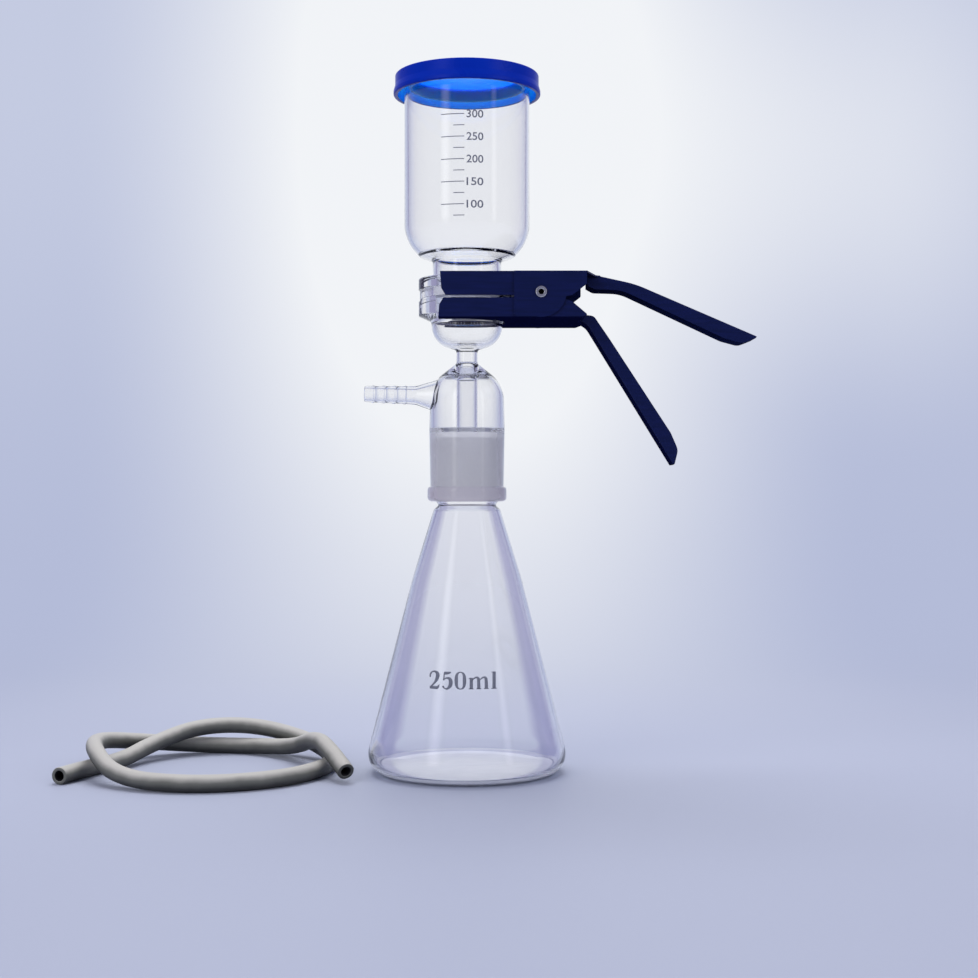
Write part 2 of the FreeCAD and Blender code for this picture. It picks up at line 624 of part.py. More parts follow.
def funnel_cup():
    bore, wall = dim("cup_neck_bore"), dim("cup_radius") - dim("cup_inner_radius")
    bend, inner_bend = dim("cup_shoulder_radius"), dim("cup_inner_shoulder_radius")
    corner = dim("cup_shoulder_height") + (dim("cup_radius") - bend) * dim("cup_slope")
    inner_corner = dim("cup_inner_shoulder_height") + (
        dim("cup_inner_radius") - inner_bend) * dim("cup_slope")
    flange_top, rim, rim_round = dim("cup_flange_top"), dim("cup_rim_height"), dim("cup_rim_round")
    body = new_body("funnel_cup")
    turn(body, "cup_glass", [
        (bore, dim("sealing_height")),
        (dim("cup_flange_radius"), dim("sealing_height"), dim("land_edge_round")),
        (dim("cup_flange_radius"), flange_top, rim_round),
        (dim("cup_neck_radius"), flange_top, dim("cup_flange_root_round")),
        (dim("cup_neck_radius"), dim("cup_shoulder_foot"), dim("cup_neck_round")),
        (bend, dim("cup_shoulder_height"), dim("cup_shoulder_round")),
        (dim("cup_radius"), corner, dim("cup_round")),
        (dim("cup_radius"), rim, rim_round),
        (dim("cup_inner_radius"), rim, rim_round),
        (dim("cup_inner_radius"), inner_corner, dim("cup_round") - wall),
        (inner_bend, dim("cup_inner_shoulder_height"), dim("cup_inner_shoulder_round")),
        (bore, dim("cup_inner_shoulder_foot"), dim("cup_neck_inner_round")),
    ])
    return body


def push_on_lid():
    plug, plug_inner = dim("lid_plug_radius"), dim("lid_plug_inner")
    edge_round, plug_round = dim("lid_edge_round"), dim("lid_plug_round")
    foot = dim("lid_flare_radius")
    body = new_body("push_on_lid")
    turn(body, "lid_moulding", [
        (0, dim("lid_centre_under")),
        (plug_inner, dim("lid_centre_under"), edge_round),
        (plug_inner, dim("lid_plug_bottom"), plug_round),
        (plug, dim("lid_plug_bottom"), plug_round),
        (plug, dim("lid_seat_height")),
        (dim("lid_skirt_inner"), dim("lid_seat_height"), edge_round),
        (dim("lid_skirt_inner"), dim("lid_skirt_bottom"), edge_round),
        (foot, dim("lid_skirt_bottom"), dim("lid_foot_round")),
        (foot, dim("lid_flare_height"), dim("lid_flare_round")),
        (dim("lid_skirt_radius"), dim("lid_flare_top"), dim("lid_flare_root_round")),
        (dim("lid_skirt_radius"), dim("lid_top_height"), dim("lid_top_round")),
        (0, dim("lid_top_height")),
    ])
    return body


# ---------------------------------------------------------------- clamp

LEVEL = Size(0)


def follow(start, runs):
    """Corners of a bent strip's outer face: a start and (slope in degrees, length) runs, sloping down."""
    corners = [start]
    for slope, length in runs:
        x, z = corners[-1]
        corners.append((x + length * cosine(slope), z - length * sine(slope)))
    return corners


def inside(corner, slope, depth, side):
    """A point at a depth square to a sloping face, on the side of the other handle."""
    x, z = corner
    return x + depth * sine(slope) * (-side), z + depth * cosine(slope) * (-side)


def handle_section(corner, runs, side, which):
    """Side view of a handle: the outer face, and the side wall's edge that runs out at the tip.

    side is 1 where the hand's gap is below the face and -1 where it is above it; which is upper or lower.
    """
    root_depth, thin_depth = dim(which + "_root_depth"), dim(which + "_thin_depth")
    face = follow(corner, runs)
    first_slope = runs[0][0]
    last_slope, last_length = runs[-1]
    tip_length, grip = dim("handle_tip_length"), dim("handle_grip_depth")
    before_tip = follow(face[-2], [(last_slope, last_length - tip_length)])[-1]
    near_tip = follow(face[-2], [(last_slope, last_length - tip_length * dim("handle_near_tip"))])[-1]
    thin = follow(corner, [(first_slope, dim("handle_thin_reach"))])[-1]
    start = (corner[0] - dim("handle_root"), corner[1])
    section = [start, (*face[0], dim(which + "_bend_round"))]
    section += [(*point, dim("handle_kink_round")) for point in face[1:-1]]
    return section + [
        face[-1],
        inside(face[-1], last_slope, dim("handle_tip_depth"), side),
        (*inside(near_tip, last_slope, grip * dim("handle_near_share"), side), dim("handle_near_round")),
        (*inside(before_tip, last_slope, grip + dim("handle_grip_swell"), side), dim("handle_grip_round")),
        (*inside(thin, first_slope, thin_depth, side), dim("handle_thin_round")),
        (*inside(corner, first_slope, root_depth, side), dim("handle_root_round")),
        inside(start, LEVEL, root_depth * dim("handle_root_share"), side),
    ]


def hollow_section(corner, runs, side, which):
    """What the channel's pocket takes: everything under the face's inner line."""
    sheet_thick, depth = dim("sheet_thick"), dim("handle_hollow_depth")
    first_slope, last_slope = runs[0][0], runs[-1][0]
    start = (corner[0] - dim("handle_root") - dim("cut_past"), corner[1])
    slopes = [LEVEL] + [slope for slope, _ in runs]
    inner = [inside(start, LEVEL, sheet_thick, side)]
    for before, after, point in zip(slopes, slopes[1:] + [last_slope], follow(corner, runs)):
        stretch = 1.0 / math.cos(math.radians(after.value - before.value) / 2)
        inner.append(inside(point, (before + after) * 0.5, sheet_thick * stretch, side))
    bends = [dim(which + "_bend_round"), dim("handle_kink_round")]
    rounded = [(*point, bend - sheet_thick * side) for point, bend in zip(inner[1:-1], bends)]
    past = follow(inner[-1], [(last_slope, dim("cut_past"))])[-1]
    return [inner[0]] + rounded + [
        past,
        inside(past, last_slope, depth, side),
        inside(inner[1], first_slope, depth, side),
        inside(inner[0], LEVEL, depth, side),
    ]


def upper_runs():
    return [(dim("upper_first_angle"), dim("upper_first_length")),
            (dim("upper_second_angle"), dim("upper_second_length"))]


def lower_runs():
    return [(dim("lower_angle"), dim("lower_length"))]


def plate(body, name, corners, bottom):
    """Pad a plan outline into a plate of the sheet's thickness, from its lower face up."""
    sketch = new_sketch(body, name + "_plan", "XY_Plane")
    sketch.setExpression("AttachmentOffset.Base.z", bottom.formula)
    outline(sketch, corners)
    feature = body.newObject("PartDesign::Pad", name)
    feature.Profile = sketch
    feature.setExpression("Length", dim("sheet_thick").formula)
    return feature


def fork(body, name, reach):
    """Cut the forked opening of a jaw: a slot with a round end, centred on the unit's axis."""
    half = dim("fork_half_width")
    mouth = -(reach + dim("cut_past"))
    slot = new_sketch(body, name + "_plan", "XY_Plane")
    outline(slot, [
        (mouth, -half),
        (0, -half),
        (0, half),
        (mouth, half),
    ])
    end = new_sketch(body, name + "_end_plan", "XY_Plane")
    circle(end, 0, 0, half)
    for profile, cut_name in ((slot, name), (end, name + "_end")):
        cut = body.newObject("PartDesign::Pocket", cut_name)
        cut.Profile = profile
        cut.SideType = "Symmetric"
        cut.setExpression("Length", (dim("clamp_top") * 2.0 + dim("cut_past")).formula)
        expect(cut, False)


def handle(which, corner, runs, side):
    """A handle: a channel with folded side walls, as its own body that a clamp half is joined from."""
    half = dim("handle_half_width")
    root = (corner[0] - dim("handle_root"), corner[1])
    line = [Vector(x.value, 0, z.value) for x, z in follow(root, [(LEVEL, dim("handle_root"))] + runs)]
    near = 0.9 * dim("sheet_thick").value

    def on_face(edge):
        middle = edge.CenterOfGravity
        if any(abs(abs(v.Y) - half.value) > TOUCHING for v in edge.Vertexes) or abs(middle.y) < near:
            return False
        spot = Vector(middle.x, 0, middle.z)
        return any(spot.distanceToLineSegment(a, b).Length < near for a, b in zip(line, line[1:]))

    body = new_body(which + "_handle")
    blank = across(body, "PartDesign::Pad", "blank", half * 2.0,
                   handle_section(corner, runs, side, which))
    folds = round_edges(body, "handle_folds", blank, dim("fold_round"), on_face)
    expect(folds, False)
    expect(across(body, "PartDesign::Pocket", "handle_hollow", (half - dim("sheet_thick")) * 2.0,
                  hollow_section(corner, runs, side, which)), False)
    return body


def joined(label, jaw, grip):
    """One folded piece: a jaw and its handle."""
    whole = doc.addObject("Part::Fuse", label)
    whole.Label = label
    whole.Base, whole.Tool = jaw, grip
    whole.Refine = True
    return whole


def along_x(edge, half_width, height):
    """Whether an edge is a fold: it runs along X, at a half width on either side and at a height."""
    first, last = edge.Vertexes[0], edge.Vertexes[-1]
    return all(
        abs(abs(v.Y) - half_width.value) < TOUCHING and abs(v.Z - height.value) < TOUCHING
        for v in (first, last)
    ) and edge.Length > 3 * dim("fold_round").value and abs(first.Y - last.Y) < TOUCHING


def clamp_upper_half():
    sheet_thick, half, past = dim("sheet_thick"), dim("clamp_half_width"), dim("cut_past")
    ear_inner = half + dim("ear_gap")
    ear_outer = ear_inner + sheet_thick
    top, reach, end = dim("clamp_top"), dim("jaw_reach"), dim("body_end")
    under, below = top - sheet_thick, dim("clamp_bottom") - past
    slit, start = dim("jaw_slit_top"), dim("ear_start")
    ear_bottom = dim("clamp_bottom") + dim("ear_bottom_rise")
    ear, pivot = dim("ear_outer_round"), (dim("pivot_reach"), dim("pivot_height"))
    jaw_end = -(reach - dim("jaw_upper_lean"))
    body = new_body("upper_jaw")
    across(body, "PartDesign::Pad", "jaw", half * 2.0, [
        (-reach, top),
        (jaw_end, slit + dim("jaw_chamfer_height")),
        (jaw_end + dim("jaw_chamfer_length"), slit),
        (start + sheet_thick, slit),
        (start + sheet_thick, top),
    ])
    expect(across(body, "PartDesign::Pad", "cheek", ear_outer * 2.0, [
        (start, top),
        (start, ear_bottom, dim("ear_corner_round")),
        (pivot[0], ear_bottom),
        (pivot[0] + ear * dim("ear_blend_reach"), pivot[1] - dim("ear_blend_drop")),
        (dim("notch_reach"), dim("notch_top"), dim("notch_upper_round")),
        (end, dim("body_end_top"), dim("body_end_round")),
        (end, top),
    ]), True)
    expect(across(body, "PartDesign::Pad", "ear", ear_outer * 2.0, disc=(*pivot, ear)), True)
    expect(across(body, "PartDesign::Pocket", "ear_trim", (ear_outer + past) * 2.0, [
        (start, top),
        (start, top + past),
        (end, top + past),
        (end, top),
    ]), False)
    expect(across(body, "PartDesign::Pocket", "hollow", (half - sheet_thick) * 2.0, [
        (-(reach + past), under),
        (-(reach + past), below),
        (end + past, below),
        (end + past, under),
    ]), False)
    expect(across(body, "PartDesign::Pocket", "ear_hollow", ear_inner * 2.0, [
        (start + sheet_thick, under),
        (start + sheet_thick, slit),
        (start - sheet_thick, slit),
        (start - sheet_thick, below),
        (end + past, below),
        (end + past, under),
    ]), False)
    grip, bend = dim("handle_half_width"), dim("upper_bend_reach")
    edge_round, neck_round = dim("shoulder_round"), dim("shoulder_neck_round")
    neck, plate_end = bend - dim("shoulder_neck_back"), bend + dim("shoulder_past")
    expect(plate(body, "shoulder", [
        (end - dim("shoulder_overlap"), -ear_outer),
        (end, -ear_outer, edge_round),
        (neck, -grip, neck_round),
        (plate_end, -grip),
        (plate_end, grip),
        (neck, grip, neck_round),
        (end, ear_outer, edge_round),
        (end - dim("shoulder_overlap"), ear_outer),
    ], under), True)
    fork(body, "fork", reach)
    hole = across(body, "PartDesign::Pocket", "pivot_hole", (ear_outer + past) * 2.0,
                  disc=(*pivot, dim("rivet_radius") + dim("rivet_clearance")))
    expect(hole, False)
    folds = round_edges(body, "jaw_folds", hole, dim("fold_round"), lambda edge: (
        along_x(edge, half, top) or along_x(edge, ear_outer, top)))
    expect(folds, False)
    return joined("clamp_upper_half", body, handle("upper", (bend, top), upper_runs(), 1))


def clamp_lower_half():
    sheet_thick, half, past = dim("sheet_thick"), dim("clamp_half_width"), dim("cut_past")
    bottom, reach, body_end = dim("clamp_bottom"), dim("jaw_lower_reach"), dim("body_end")
    slit = dim("jaw_slit_bottom")
    over = bottom + sheet_thick
    pivot, ear = (dim("pivot_reach"), dim("pivot_height")), dim("ear_inner_round")
    shoulder = ear * dim("ear_shoulder_reach")
    shoulder_height = slit + dim("ear_shoulder_rise")
    jaw_end = -(reach - dim("jaw_lower_lean"))
    body = new_body("lower_jaw")
    across(body, "PartDesign::Pad", "jaw", half * 2.0, [
        (-reach, bottom),
        (dim("lower_plate_end"), bottom),
        (body_end + dim("lower_end_overhang"), bottom + dim("lower_end_rise"), dim("lower_end_round")),
        (dim("notch_reach"), dim("notch_bottom"), dim("notch_lower_round")),
        (pivot[0] + shoulder, shoulder_height),
        (pivot[0] - shoulder, shoulder_height),
        (pivot[0] - ear * dim("ear_foot_reach"), slit),
        (jaw_end + dim("jaw_chamfer_length"), slit),
        (jaw_end, slit - dim("jaw_chamfer_height")),
    ])
    expect(across(body, "PartDesign::Pad", "ear", half * 2.0, disc=(*pivot, ear)), True)
    expect(across(body, "PartDesign::Pocket", "hollow", (half - sheet_thick) * 2.0, [
        (-(reach + past), over),
        (body_end + past, over),
        (body_end + past, dim("clamp_top")),
        (-(reach + past), dim("clamp_top")),
    ]), False)
    fork(body, "fork", reach)
    hole = across(body, "PartDesign::Pocket", "pivot_hole", (half + past) * 2.0,
                  disc=(*pivot, dim("rivet_radius")))
    expect(hole, False)
    folds = round_edges(body, "jaw_folds", hole, dim("fold_round"),
                        lambda edge: along_x(edge, half, bottom))
    expect(folds, False)
    grip = handle("lower", (dim("lower_bend_reach"), bottom), lower_runs(), -1)
    return joined("clamp_lower_half", body, grip)


def clamp_rivet():
    """Tubular rivet: a shank through all four ears, with a flared head at each end."""
    half = dim("clamp_half_width") + dim("ear_gap") + dim("sheet_thick") + dim("rivet_head_gap")
    tip = half + dim("rivet_head_thick")
    body = new_body("clamp_rivet")
    body.Placement = Placement(
        Vector(dim("pivot_reach").value, 0, dim("pivot_height").value), Rotation(Vector(1, 0, 0), 90))
    body.setExpression("Placement.Base.x", dim("pivot_reach").formula)
    body.setExpression("Placement.Base.z", dim("pivot_height").formula)
    turn(body, "rivet", [
        (dim("rivet_bore"), -tip, dim("rivet_mouth_round")),
        (dim("rivet_head_radius"), -tip, dim("rivet_head_round")),
        (dim("rivet_head_radius"), -half),
        (dim("rivet_radius"), -half),
        (dim("rivet_radius"), half),
        (dim("rivet_head_radius"), half),
        (dim("rivet_head_radius"), tip, dim("rivet_head_round")),
        (dim("rivet_bore"), tip, dim("rivet_mouth_round")),
    ])
    return body


def clamp_spring():
    """Torsion spring: a coil round the rivet, with a leg under each half of the clamp."""
    radius, pitch, wire = dim("spring_radius").value, dim("spring_pitch").value, dim("spring_wire").value / 2
    upper = 90 + dim("spring_upper_slope").value
    lower = 270 - dim("spring_lower_slope").value
    turns = dim("spring_turns").value + (lower - upper) / 360
    length = pitch * turns
    last = math.radians(360 * turns)
    start = Vector(radius, 0, 0)
    stop = Vector(radius * math.cos(last), radius * math.sin(last), length)
    leaving = Vector(0, 2 * math.pi * radius, pitch).normalize()
    ending = Vector(-leaving.y * math.sin(last), leaving.y * math.cos(last), leaving.z)
    wire_end = Part.Wire([Part.Circle(start, leaving, wire).toShape()])
    coil = Part.Wire(Part.makeHelix(pitch, length, radius)).makePipeShell([wire_end], True, True)
    upper_leg = Part.makeCylinder(wire, dim("spring_upper_leg").value, start, leaving * -1)
    lower_leg = Part.makeCylinder(wire, dim("spring_lower_leg").value, stop, ending)
    feature = doc.addObject("Part::Feature", "clamp_spring")
    feature.Label = "clamp_spring"
    feature.Shape = coil.fuse([upper_leg, lower_leg]).removeSplitter()
    round_rivet = Rotation(Vector(1, 0, 0), 90) * Rotation(Vector(0, 0, 1), upper)
    pivot = Vector(dim("pivot_reach").value, 0, dim("pivot_height").value)
    feature.Placement = Placement(pivot, round_rivet) * Placement(Vector(0, 0, -length / 2), Rotation())
    return feature


# ---------------------------------------------------------------- hose

def hose_route():
    """Route of the hose's axis, from its left end: a loosely tied open loop lying on the surface.

    The hose passes over itself on the left, at the back and on the right, each in a long low hump.
    Points on the way up or down stand a little over the resting height.
    """
    low, high = dim("hose_radius").value, dim("hose_crossing").value
    return [
        Vector(-233, -43, low),
        Vector(-224, -18, low),
        Vector(-209, 9, low),
        Vector(-198, 38, low + 5),
        Vector(-173, 62, high),
        Vector(-138, 69, high),
        Vector(-102, 56, low + 6),
        Vector(-81, 23, low),
        Vector(-83, -17, low),
        Vector(-106, -54, low),
        Vector(-152, -71, low),
        Vector(-198, -55, low + 1),
        Vector(-220, -21, high),
        Vector(-224, 14, high - 1),
        Vector(-206, 51, low + 5),
        Vector(-172, 68, low),
        Vector(-136, 64, low),
        Vector(-108, 41, low + 3),
        Vector(-93, 12, high),
        Vector(-82, -16, high),
        Vector(-69, -40, low + 2),
    ]


def rounded_path(route):
    """Straight runs joined by tangent arcs as large as the runs allow; prints the arcs' radii."""
    edges, radii, at = [], [], route[0]
    for before, corner, after in zip(route, route[1:], route[2:]):
        back, ahead = before - corner, after - corner
        reach = 0.45 * min(back.Length, ahead.Length)
        half_turn = (math.pi - back.getAngle(ahead)) / 2
        radius = reach / math.tan(half_turn)
        back.normalize()
        ahead.normalize()
        start, stop = corner + back * reach, corner + ahead * reach
        centre = corner + (back + ahead).normalize() * (radius / math.cos(half_turn))
        middle = centre + (corner - centre).normalize() * radius
        edges += [Part.LineSegment(at, start).toShape(), Part.Arc(start, middle, stop).toShape()]
        radii.append(radius)
        at = stop
    edges.append(Part.LineSegment(at, route[-1]).toShape())
    print("hose arc radii:", " ".join(f"{radius:.0f}" for radius in radii))
    return Part.Wire(edges)


def vacuum_hose():
    radius = dim("hose_radius").value
    route = hose_route()
    path = rounded_path(route)
    end = Part.Wire([Part.Circle(route[0], route[1] - route[0], radius).toShape()])
    feature = doc.addObject("Part::Feature", "vacuum_hose")
    feature.Label = "vacuum_hose"
    feature.Shape = path.makePipeShell([end], True, False)
    share = feature.Shape.Volume / (math.pi * radius ** 2 * path.Length)
    print(f"hose length {path.Length:.0f} mm, volume {share:.4f} of section times length")
    return feature


# ---------------------------------------------------------------- build, check and write

parts = [
    receiving_flask(),
    filter_head(),
    sintered_disc(),
    funnel_cup(),
    push_on_lid(),
    clamp_upper_half(),
    clamp_lower_half(),
    clamp_rivet(),
    clamp_spring(),
    vacuum_hose(),
]
doc.recompute()

for item in doc.Objects:
    if "Invalid" in item.State or "Error" in item.State:
        raise RuntimeError(f"{item.Label} failed: {item.State}")
for part in parts:
    shape = part.Shape
    if shape.isNull() or not shape.isValid() or len(shape.Solids) != 1:
        raise RuntimeError(f"{part.Label} isn't one valid solid")
    shape.exportStep(f"parts/{part.Label}.step")
    box = shape.optimalBoundingBox(True, False)
    print(f"{part.Label:18} volume {shape.Volume / 1000:8.2f} cm3  z {box.ZMin:.2f} to {box.ZMax:.2f}")
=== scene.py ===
# %% [markdown]
# # A vacuum filtration unit in glass, plastic and anodised sheet
#
# The real object filters liquids: a graduated glass cup stands on a filter head, a spring clamp
# holds their two ground flanges together, and the head sits in the ground neck of a conical flask.
# A vacuum hose lies beside it. The solid model is already built and packed, so this script only
# dresses it: it turns the glass smooth, prints the scale, and gives each piece its finish.

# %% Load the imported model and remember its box
import json
import math

import bpy
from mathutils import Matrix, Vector

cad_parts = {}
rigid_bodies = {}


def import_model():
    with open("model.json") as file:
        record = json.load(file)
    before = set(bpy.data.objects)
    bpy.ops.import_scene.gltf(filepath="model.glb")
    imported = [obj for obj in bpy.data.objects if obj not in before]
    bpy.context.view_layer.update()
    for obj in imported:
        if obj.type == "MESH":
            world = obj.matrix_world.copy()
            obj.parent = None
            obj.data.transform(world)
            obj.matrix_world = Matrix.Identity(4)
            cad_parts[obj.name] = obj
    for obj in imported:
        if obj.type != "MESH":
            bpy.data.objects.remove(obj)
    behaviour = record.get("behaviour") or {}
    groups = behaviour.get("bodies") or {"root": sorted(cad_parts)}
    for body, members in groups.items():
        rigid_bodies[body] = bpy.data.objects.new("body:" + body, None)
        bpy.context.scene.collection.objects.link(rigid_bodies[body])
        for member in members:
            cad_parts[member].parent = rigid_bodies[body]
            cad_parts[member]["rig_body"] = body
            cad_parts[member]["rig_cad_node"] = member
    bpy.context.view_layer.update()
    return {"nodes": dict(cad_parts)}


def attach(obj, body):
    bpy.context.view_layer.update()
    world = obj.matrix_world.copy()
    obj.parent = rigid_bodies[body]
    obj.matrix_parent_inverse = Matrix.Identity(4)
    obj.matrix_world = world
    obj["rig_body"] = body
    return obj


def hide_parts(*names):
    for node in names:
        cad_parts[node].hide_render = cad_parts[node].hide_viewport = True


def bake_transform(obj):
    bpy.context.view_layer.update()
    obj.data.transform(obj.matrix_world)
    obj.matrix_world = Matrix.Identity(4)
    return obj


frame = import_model()
bpy.ops.object.select_all(action="DESELECT")
scene = bpy.context.scene
print("packed nodes:", sorted(frame["nodes"]))


def mm(*sizes):
    """Workshop drawings are in millimetres and Blender's scene is in metres."""
    return tuple(size * 0.001 for size in sizes)


# %% [markdown]
# ## The camera
#
# A tall narrow object is photographed from a distance with a long lens, level with its lower
# third, so that its upright lines stay upright. The camera looks straight along +Y.

# %% Camera
bpy.ops.object.camera_add(location=(0.0132, -0.95, 0.1694), rotation=(math.pi / 2, 0, 0))
camera = bpy.context.object
camera.name = "studio_camera"
camera.data.lens = 58.3
camera.data.sensor_width = 36
scene.camera = camera

# %% [markdown]
# ## The vacuum hose
#
# The hose is a fixed length of thick rubber tube that lies on the bench in a loosely tied open
# loop. A smooth NURBS curve carries its line. The same curve with a round bevel becomes the tube's
# skin, and Solidify gives that skin its wall, so the bore stays open at both cut ends. Solidify
# also puts the faces of the bore in a second material slot, which stays empty until the rubber is
# made.

# %% Hose route and its smooth line
hose_radius = 0.005
hose_wall = 0.002
hose_route = [mm(*point) for point in (
    (-233, -43, 5), (-224, -18, 5), (-209, 9, 5), (-198, 38, 10), (-173, 62, 18), (-138, 69, 18),
    (-102, 56, 11), (-81, 23, 5), (-83, -17, 5), (-106, -54, 5), (-152, -71, 5), (-198, -55, 6),
    (-220, -21, 18), (-224, 14, 17), (-206, 51, 10), (-172, 68, 5), (-136, 64, 5), (-108, 41, 8),
    (-93, 12, 18), (-82, -16, 18), (-69, -40, 7),
)]
hose_line = bpy.data.curves.new("hose_line", "CURVE")
hose_line.dimensions = "3D"
hose_line.resolution_u = 14
hose_spline = hose_line.splines.new("NURBS")
hose_spline.points.add(len(hose_route) - 1)
for point, place in zip(hose_spline.points, hose_route):
    point.co = (*place, 1.0)
hose_spline.order_u = 3
hose_spline.use_endpoint_u = True
hose_object = bpy.data.objects.new("vacuum_hose_tube", hose_line)
scene.collection.objects.link(hose_object)
bpy.context.view_layer.update()
bare_line = bpy.data.meshes.new_from_object(hose_object)
bpy.data.meshes.remove(bare_line)

# %% Hose tube
hose_line.bevel_depth = hose_radius
hose_line.bevel_resolution = 8
bpy.context.view_layer.objects.active = hose_object
hose_object.select_set(True)
bpy.ops.object.convert(target="MESH")
hose = bpy.context.object
for face in ("outside", "bore"):
    hose.data.materials.append(None)
wall = hose.modifiers.new("wall", "SOLIDIFY")
wall.thickness = hose_wall
wall.offset = -1
wall.material_offset = 1
bpy.ops.object.modifier_apply(modifier="wall")
cut = hose.modifiers.new("cut_edge", "BEVEL")
cut.width = 0.0003
cut.segments = 2
cut.limit_method = "ANGLE"
cut.angle_limit = math.radians(60)
bpy.ops.object.modifier_apply(modifier="cut_edge")
bpy.ops.object.shade_smooth_by_angle(angle=math.radians(50))
hose.select_set(False)
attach(hose, "receiver")
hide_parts("vacuum_hose")

# %% [markdown]
# ## Floor and backdrop
#
# Studio glass is photographed on a seamless sweep: one sheet that runs from under the object to
# behind it with no corner. A plane is extruded up at its far edge and the fold is bevelled wide.

# %% Sweep
def pick_edges(piece, wanted):
    """Select the edges whose two ends pass the test, and leave the piece in edit mode."""
    bpy.ops.object.mode_set(mode="OBJECT")
    for polygon in piece.data.polygons:
        polygon.select = False
    for vertex in piece.data.vertices:
        vertex.select = wanted(vertex.co)
    for edge in piece.data.edges:
        edge.select = all(piece.data.vertices[i].select for i in edge.vertices)
    bpy.ops.object.mode_set(mode="EDIT")
    bpy.ops.mesh.select_mode(type="EDGE")


sweep_size = (6.0, 3.4)
sweep_height = 2.6
sweep_fold = 0.7
sweep_middle = -0.5
far_edge = sweep_middle + sweep_size[1] / 2
bpy.ops.mesh.primitive_plane_add(size=1, location=(0, 0, 0))
sweep = bpy.context.object
sweep.name = "studio_sweep"
bpy.ops.object.mode_set(mode="EDIT")
bpy.ops.transform.resize(value=(*sweep_size, 1))
bpy.ops.transform.translate(value=(0, sweep_middle, 0))
pick_edges(sweep, lambda place: place.y > far_edge - 0.01)
bpy.ops.mesh.extrude_region_move(TRANSFORM_OT_translate={"value": (0, 0, sweep_height)})
pick_edges(sweep, lambda place: place.y > far_edge - 0.01 and place.z < 0.01)
bpy.ops.mesh.bevel(offset=sweep_fold, segments=24, profile=0.5, affect="EDGES")
bpy.ops.object.mode_set(mode="OBJECT")
bpy.ops.object.shade_smooth()
sweep.select_set(False)
print("sweep faces:", len(sweep.data.polygons))

# %% [markdown]
# ## Helpers for materials
#
# A material here is a Principled shader with procedural nodes in front of it. Small helpers keep
# the cells short. Nearly every finish has some grain: glass powder, brushed metal, talc on rubber,
# specks in a print. That effect is one node group, built once. Its noise reads Object coordinates,
# so it sits still on the piece, and it puts out a colour between two given ones and the bare noise.
# Each material places the group with its own scale, stretch and colours.

# %% Material helpers
def new_material(name):
    """A material with its Principled shader, ready for nodes."""
    material = bpy.data.materials.new(name)
    material.use_nodes = True
    return material, material.node_tree.nodes["Principled BSDF"]


def tree_of(owner):
    """A material keeps its nodes in a tree, and a node group is such a tree itself."""
    return owner.node_tree if isinstance(owner, bpy.types.Material) else owner


def node(owner, kind, **settings):
    """Add a shader node and set what is given by name."""
    made = tree_of(owner).nodes.new(kind)
    for key, value in settings.items():
        setattr(made, key, value)
    return made


def link(owner, source, target):
    tree_of(owner).links.new(source, target)


def finish_surface(material, shader_output):
    """Lead a shader to the material's surface."""
    link(material, shader_output, material.node_tree.nodes["Material Output"].inputs["Surface"])


def smooth_between(owner, value, start, stop, kind="SMOOTHSTEP"):
    """Zero up to start, one from stop on, and in between a smooth or an even rise."""
    made = node(owner, "ShaderNodeMapRange", interpolation_type=kind)
    for name, edge in (("From Min", start), ("From Max", stop)):
        if isinstance(edge, (int, float)):
            made.inputs[name].default_value = edge
        else:
            link(owner, edge, made.inputs[name])
    link(owner, value, made.inputs["Value"])
    return made.outputs["Result"]


def blend_colours(owner, factor, first, second):
    """Mix two colours, each a colour or another node's output."""
    made = node(owner, "ShaderNodeMix", data_type="RGBA")
    link(owner, factor, made.inputs["Factor"])
    for name, colour in (("A", first), ("B", second)):
        socket = [i for i in made.inputs if i.name == name and i.type == "RGBA"][0]
        if isinstance(colour, tuple):
            socket.default_value = (*colour, 1)
        else:
            link(owner, colour, socket)
    return [o for o in made.outputs if o.type == "RGBA"][0]


def ramp(material, factor, stops):
    """A colour ramp with (position, colour) stops."""
    made = node(material, "ShaderNodeValToRGB")
    elements = made.color_ramp.elements
    while len(elements) < len(stops):
        elements.new(0.5)
    for element, (position, colour) in zip(elements, stops):
        element.position = position
        element.color = (*colour, 1.0)
    link(material, factor, made.inputs["Fac"])
    return made.outputs["Color"]


def bump(material, shader, height, strength, distance):
    made = node(material, "ShaderNodeBump")
    made.inputs["Strength"].default_value = strength
    made.inputs["Distance"].default_value = distance
    link(material, height, made.inputs["Height"])
    link(material, made.outputs["Normal"], shader.inputs["Normal"])


def dress(piece, *materials):
    """Give a piece its materials, first slot first."""
    piece.data.materials.clear()
    for material in materials:
        piece.data.materials.append(material)


# %% Grain group
grain_group = bpy.data.node_groups.new("surface_grain", "ShaderNodeTree")
for name, kind in (("Scale", "Float"), ("Detail", "Float"), ("Stretch", "Vector"), ("Low edge", "Float"),
                   ("High edge", "Float"), ("Low colour", "Color"), ("High colour", "Color")):
    grain_group.interface.new_socket(name=name, in_out="INPUT", socket_type="NodeSocket" + kind)
for name, kind in (("Colour", "Color"), ("Grain", "Float")):
    grain_group.interface.new_socket(name=name, in_out="OUTPUT", socket_type="NodeSocket" + kind)
given = node(grain_group, "NodeGroupInput").outputs
result = node(grain_group, "NodeGroupOutput").inputs
stretched = node(grain_group, "ShaderNodeMapping")
speckle = node(grain_group, "ShaderNodeTexNoise")
link(grain_group, node(grain_group, "ShaderNodeTexCoord").outputs["Object"], stretched.inputs["Vector"])
link(grain_group, given["Stretch"], stretched.inputs["Scale"])
link(grain_group, stretched.outputs["Vector"], speckle.inputs["Vector"])
link(grain_group, given["Scale"], speckle.inputs["Scale"])
link(grain_group, given["Detail"], speckle.inputs["Detail"])
share = smooth_between(grain_group, speckle.outputs["Fac"], given["Low edge"], given["High edge"], "LINEAR")
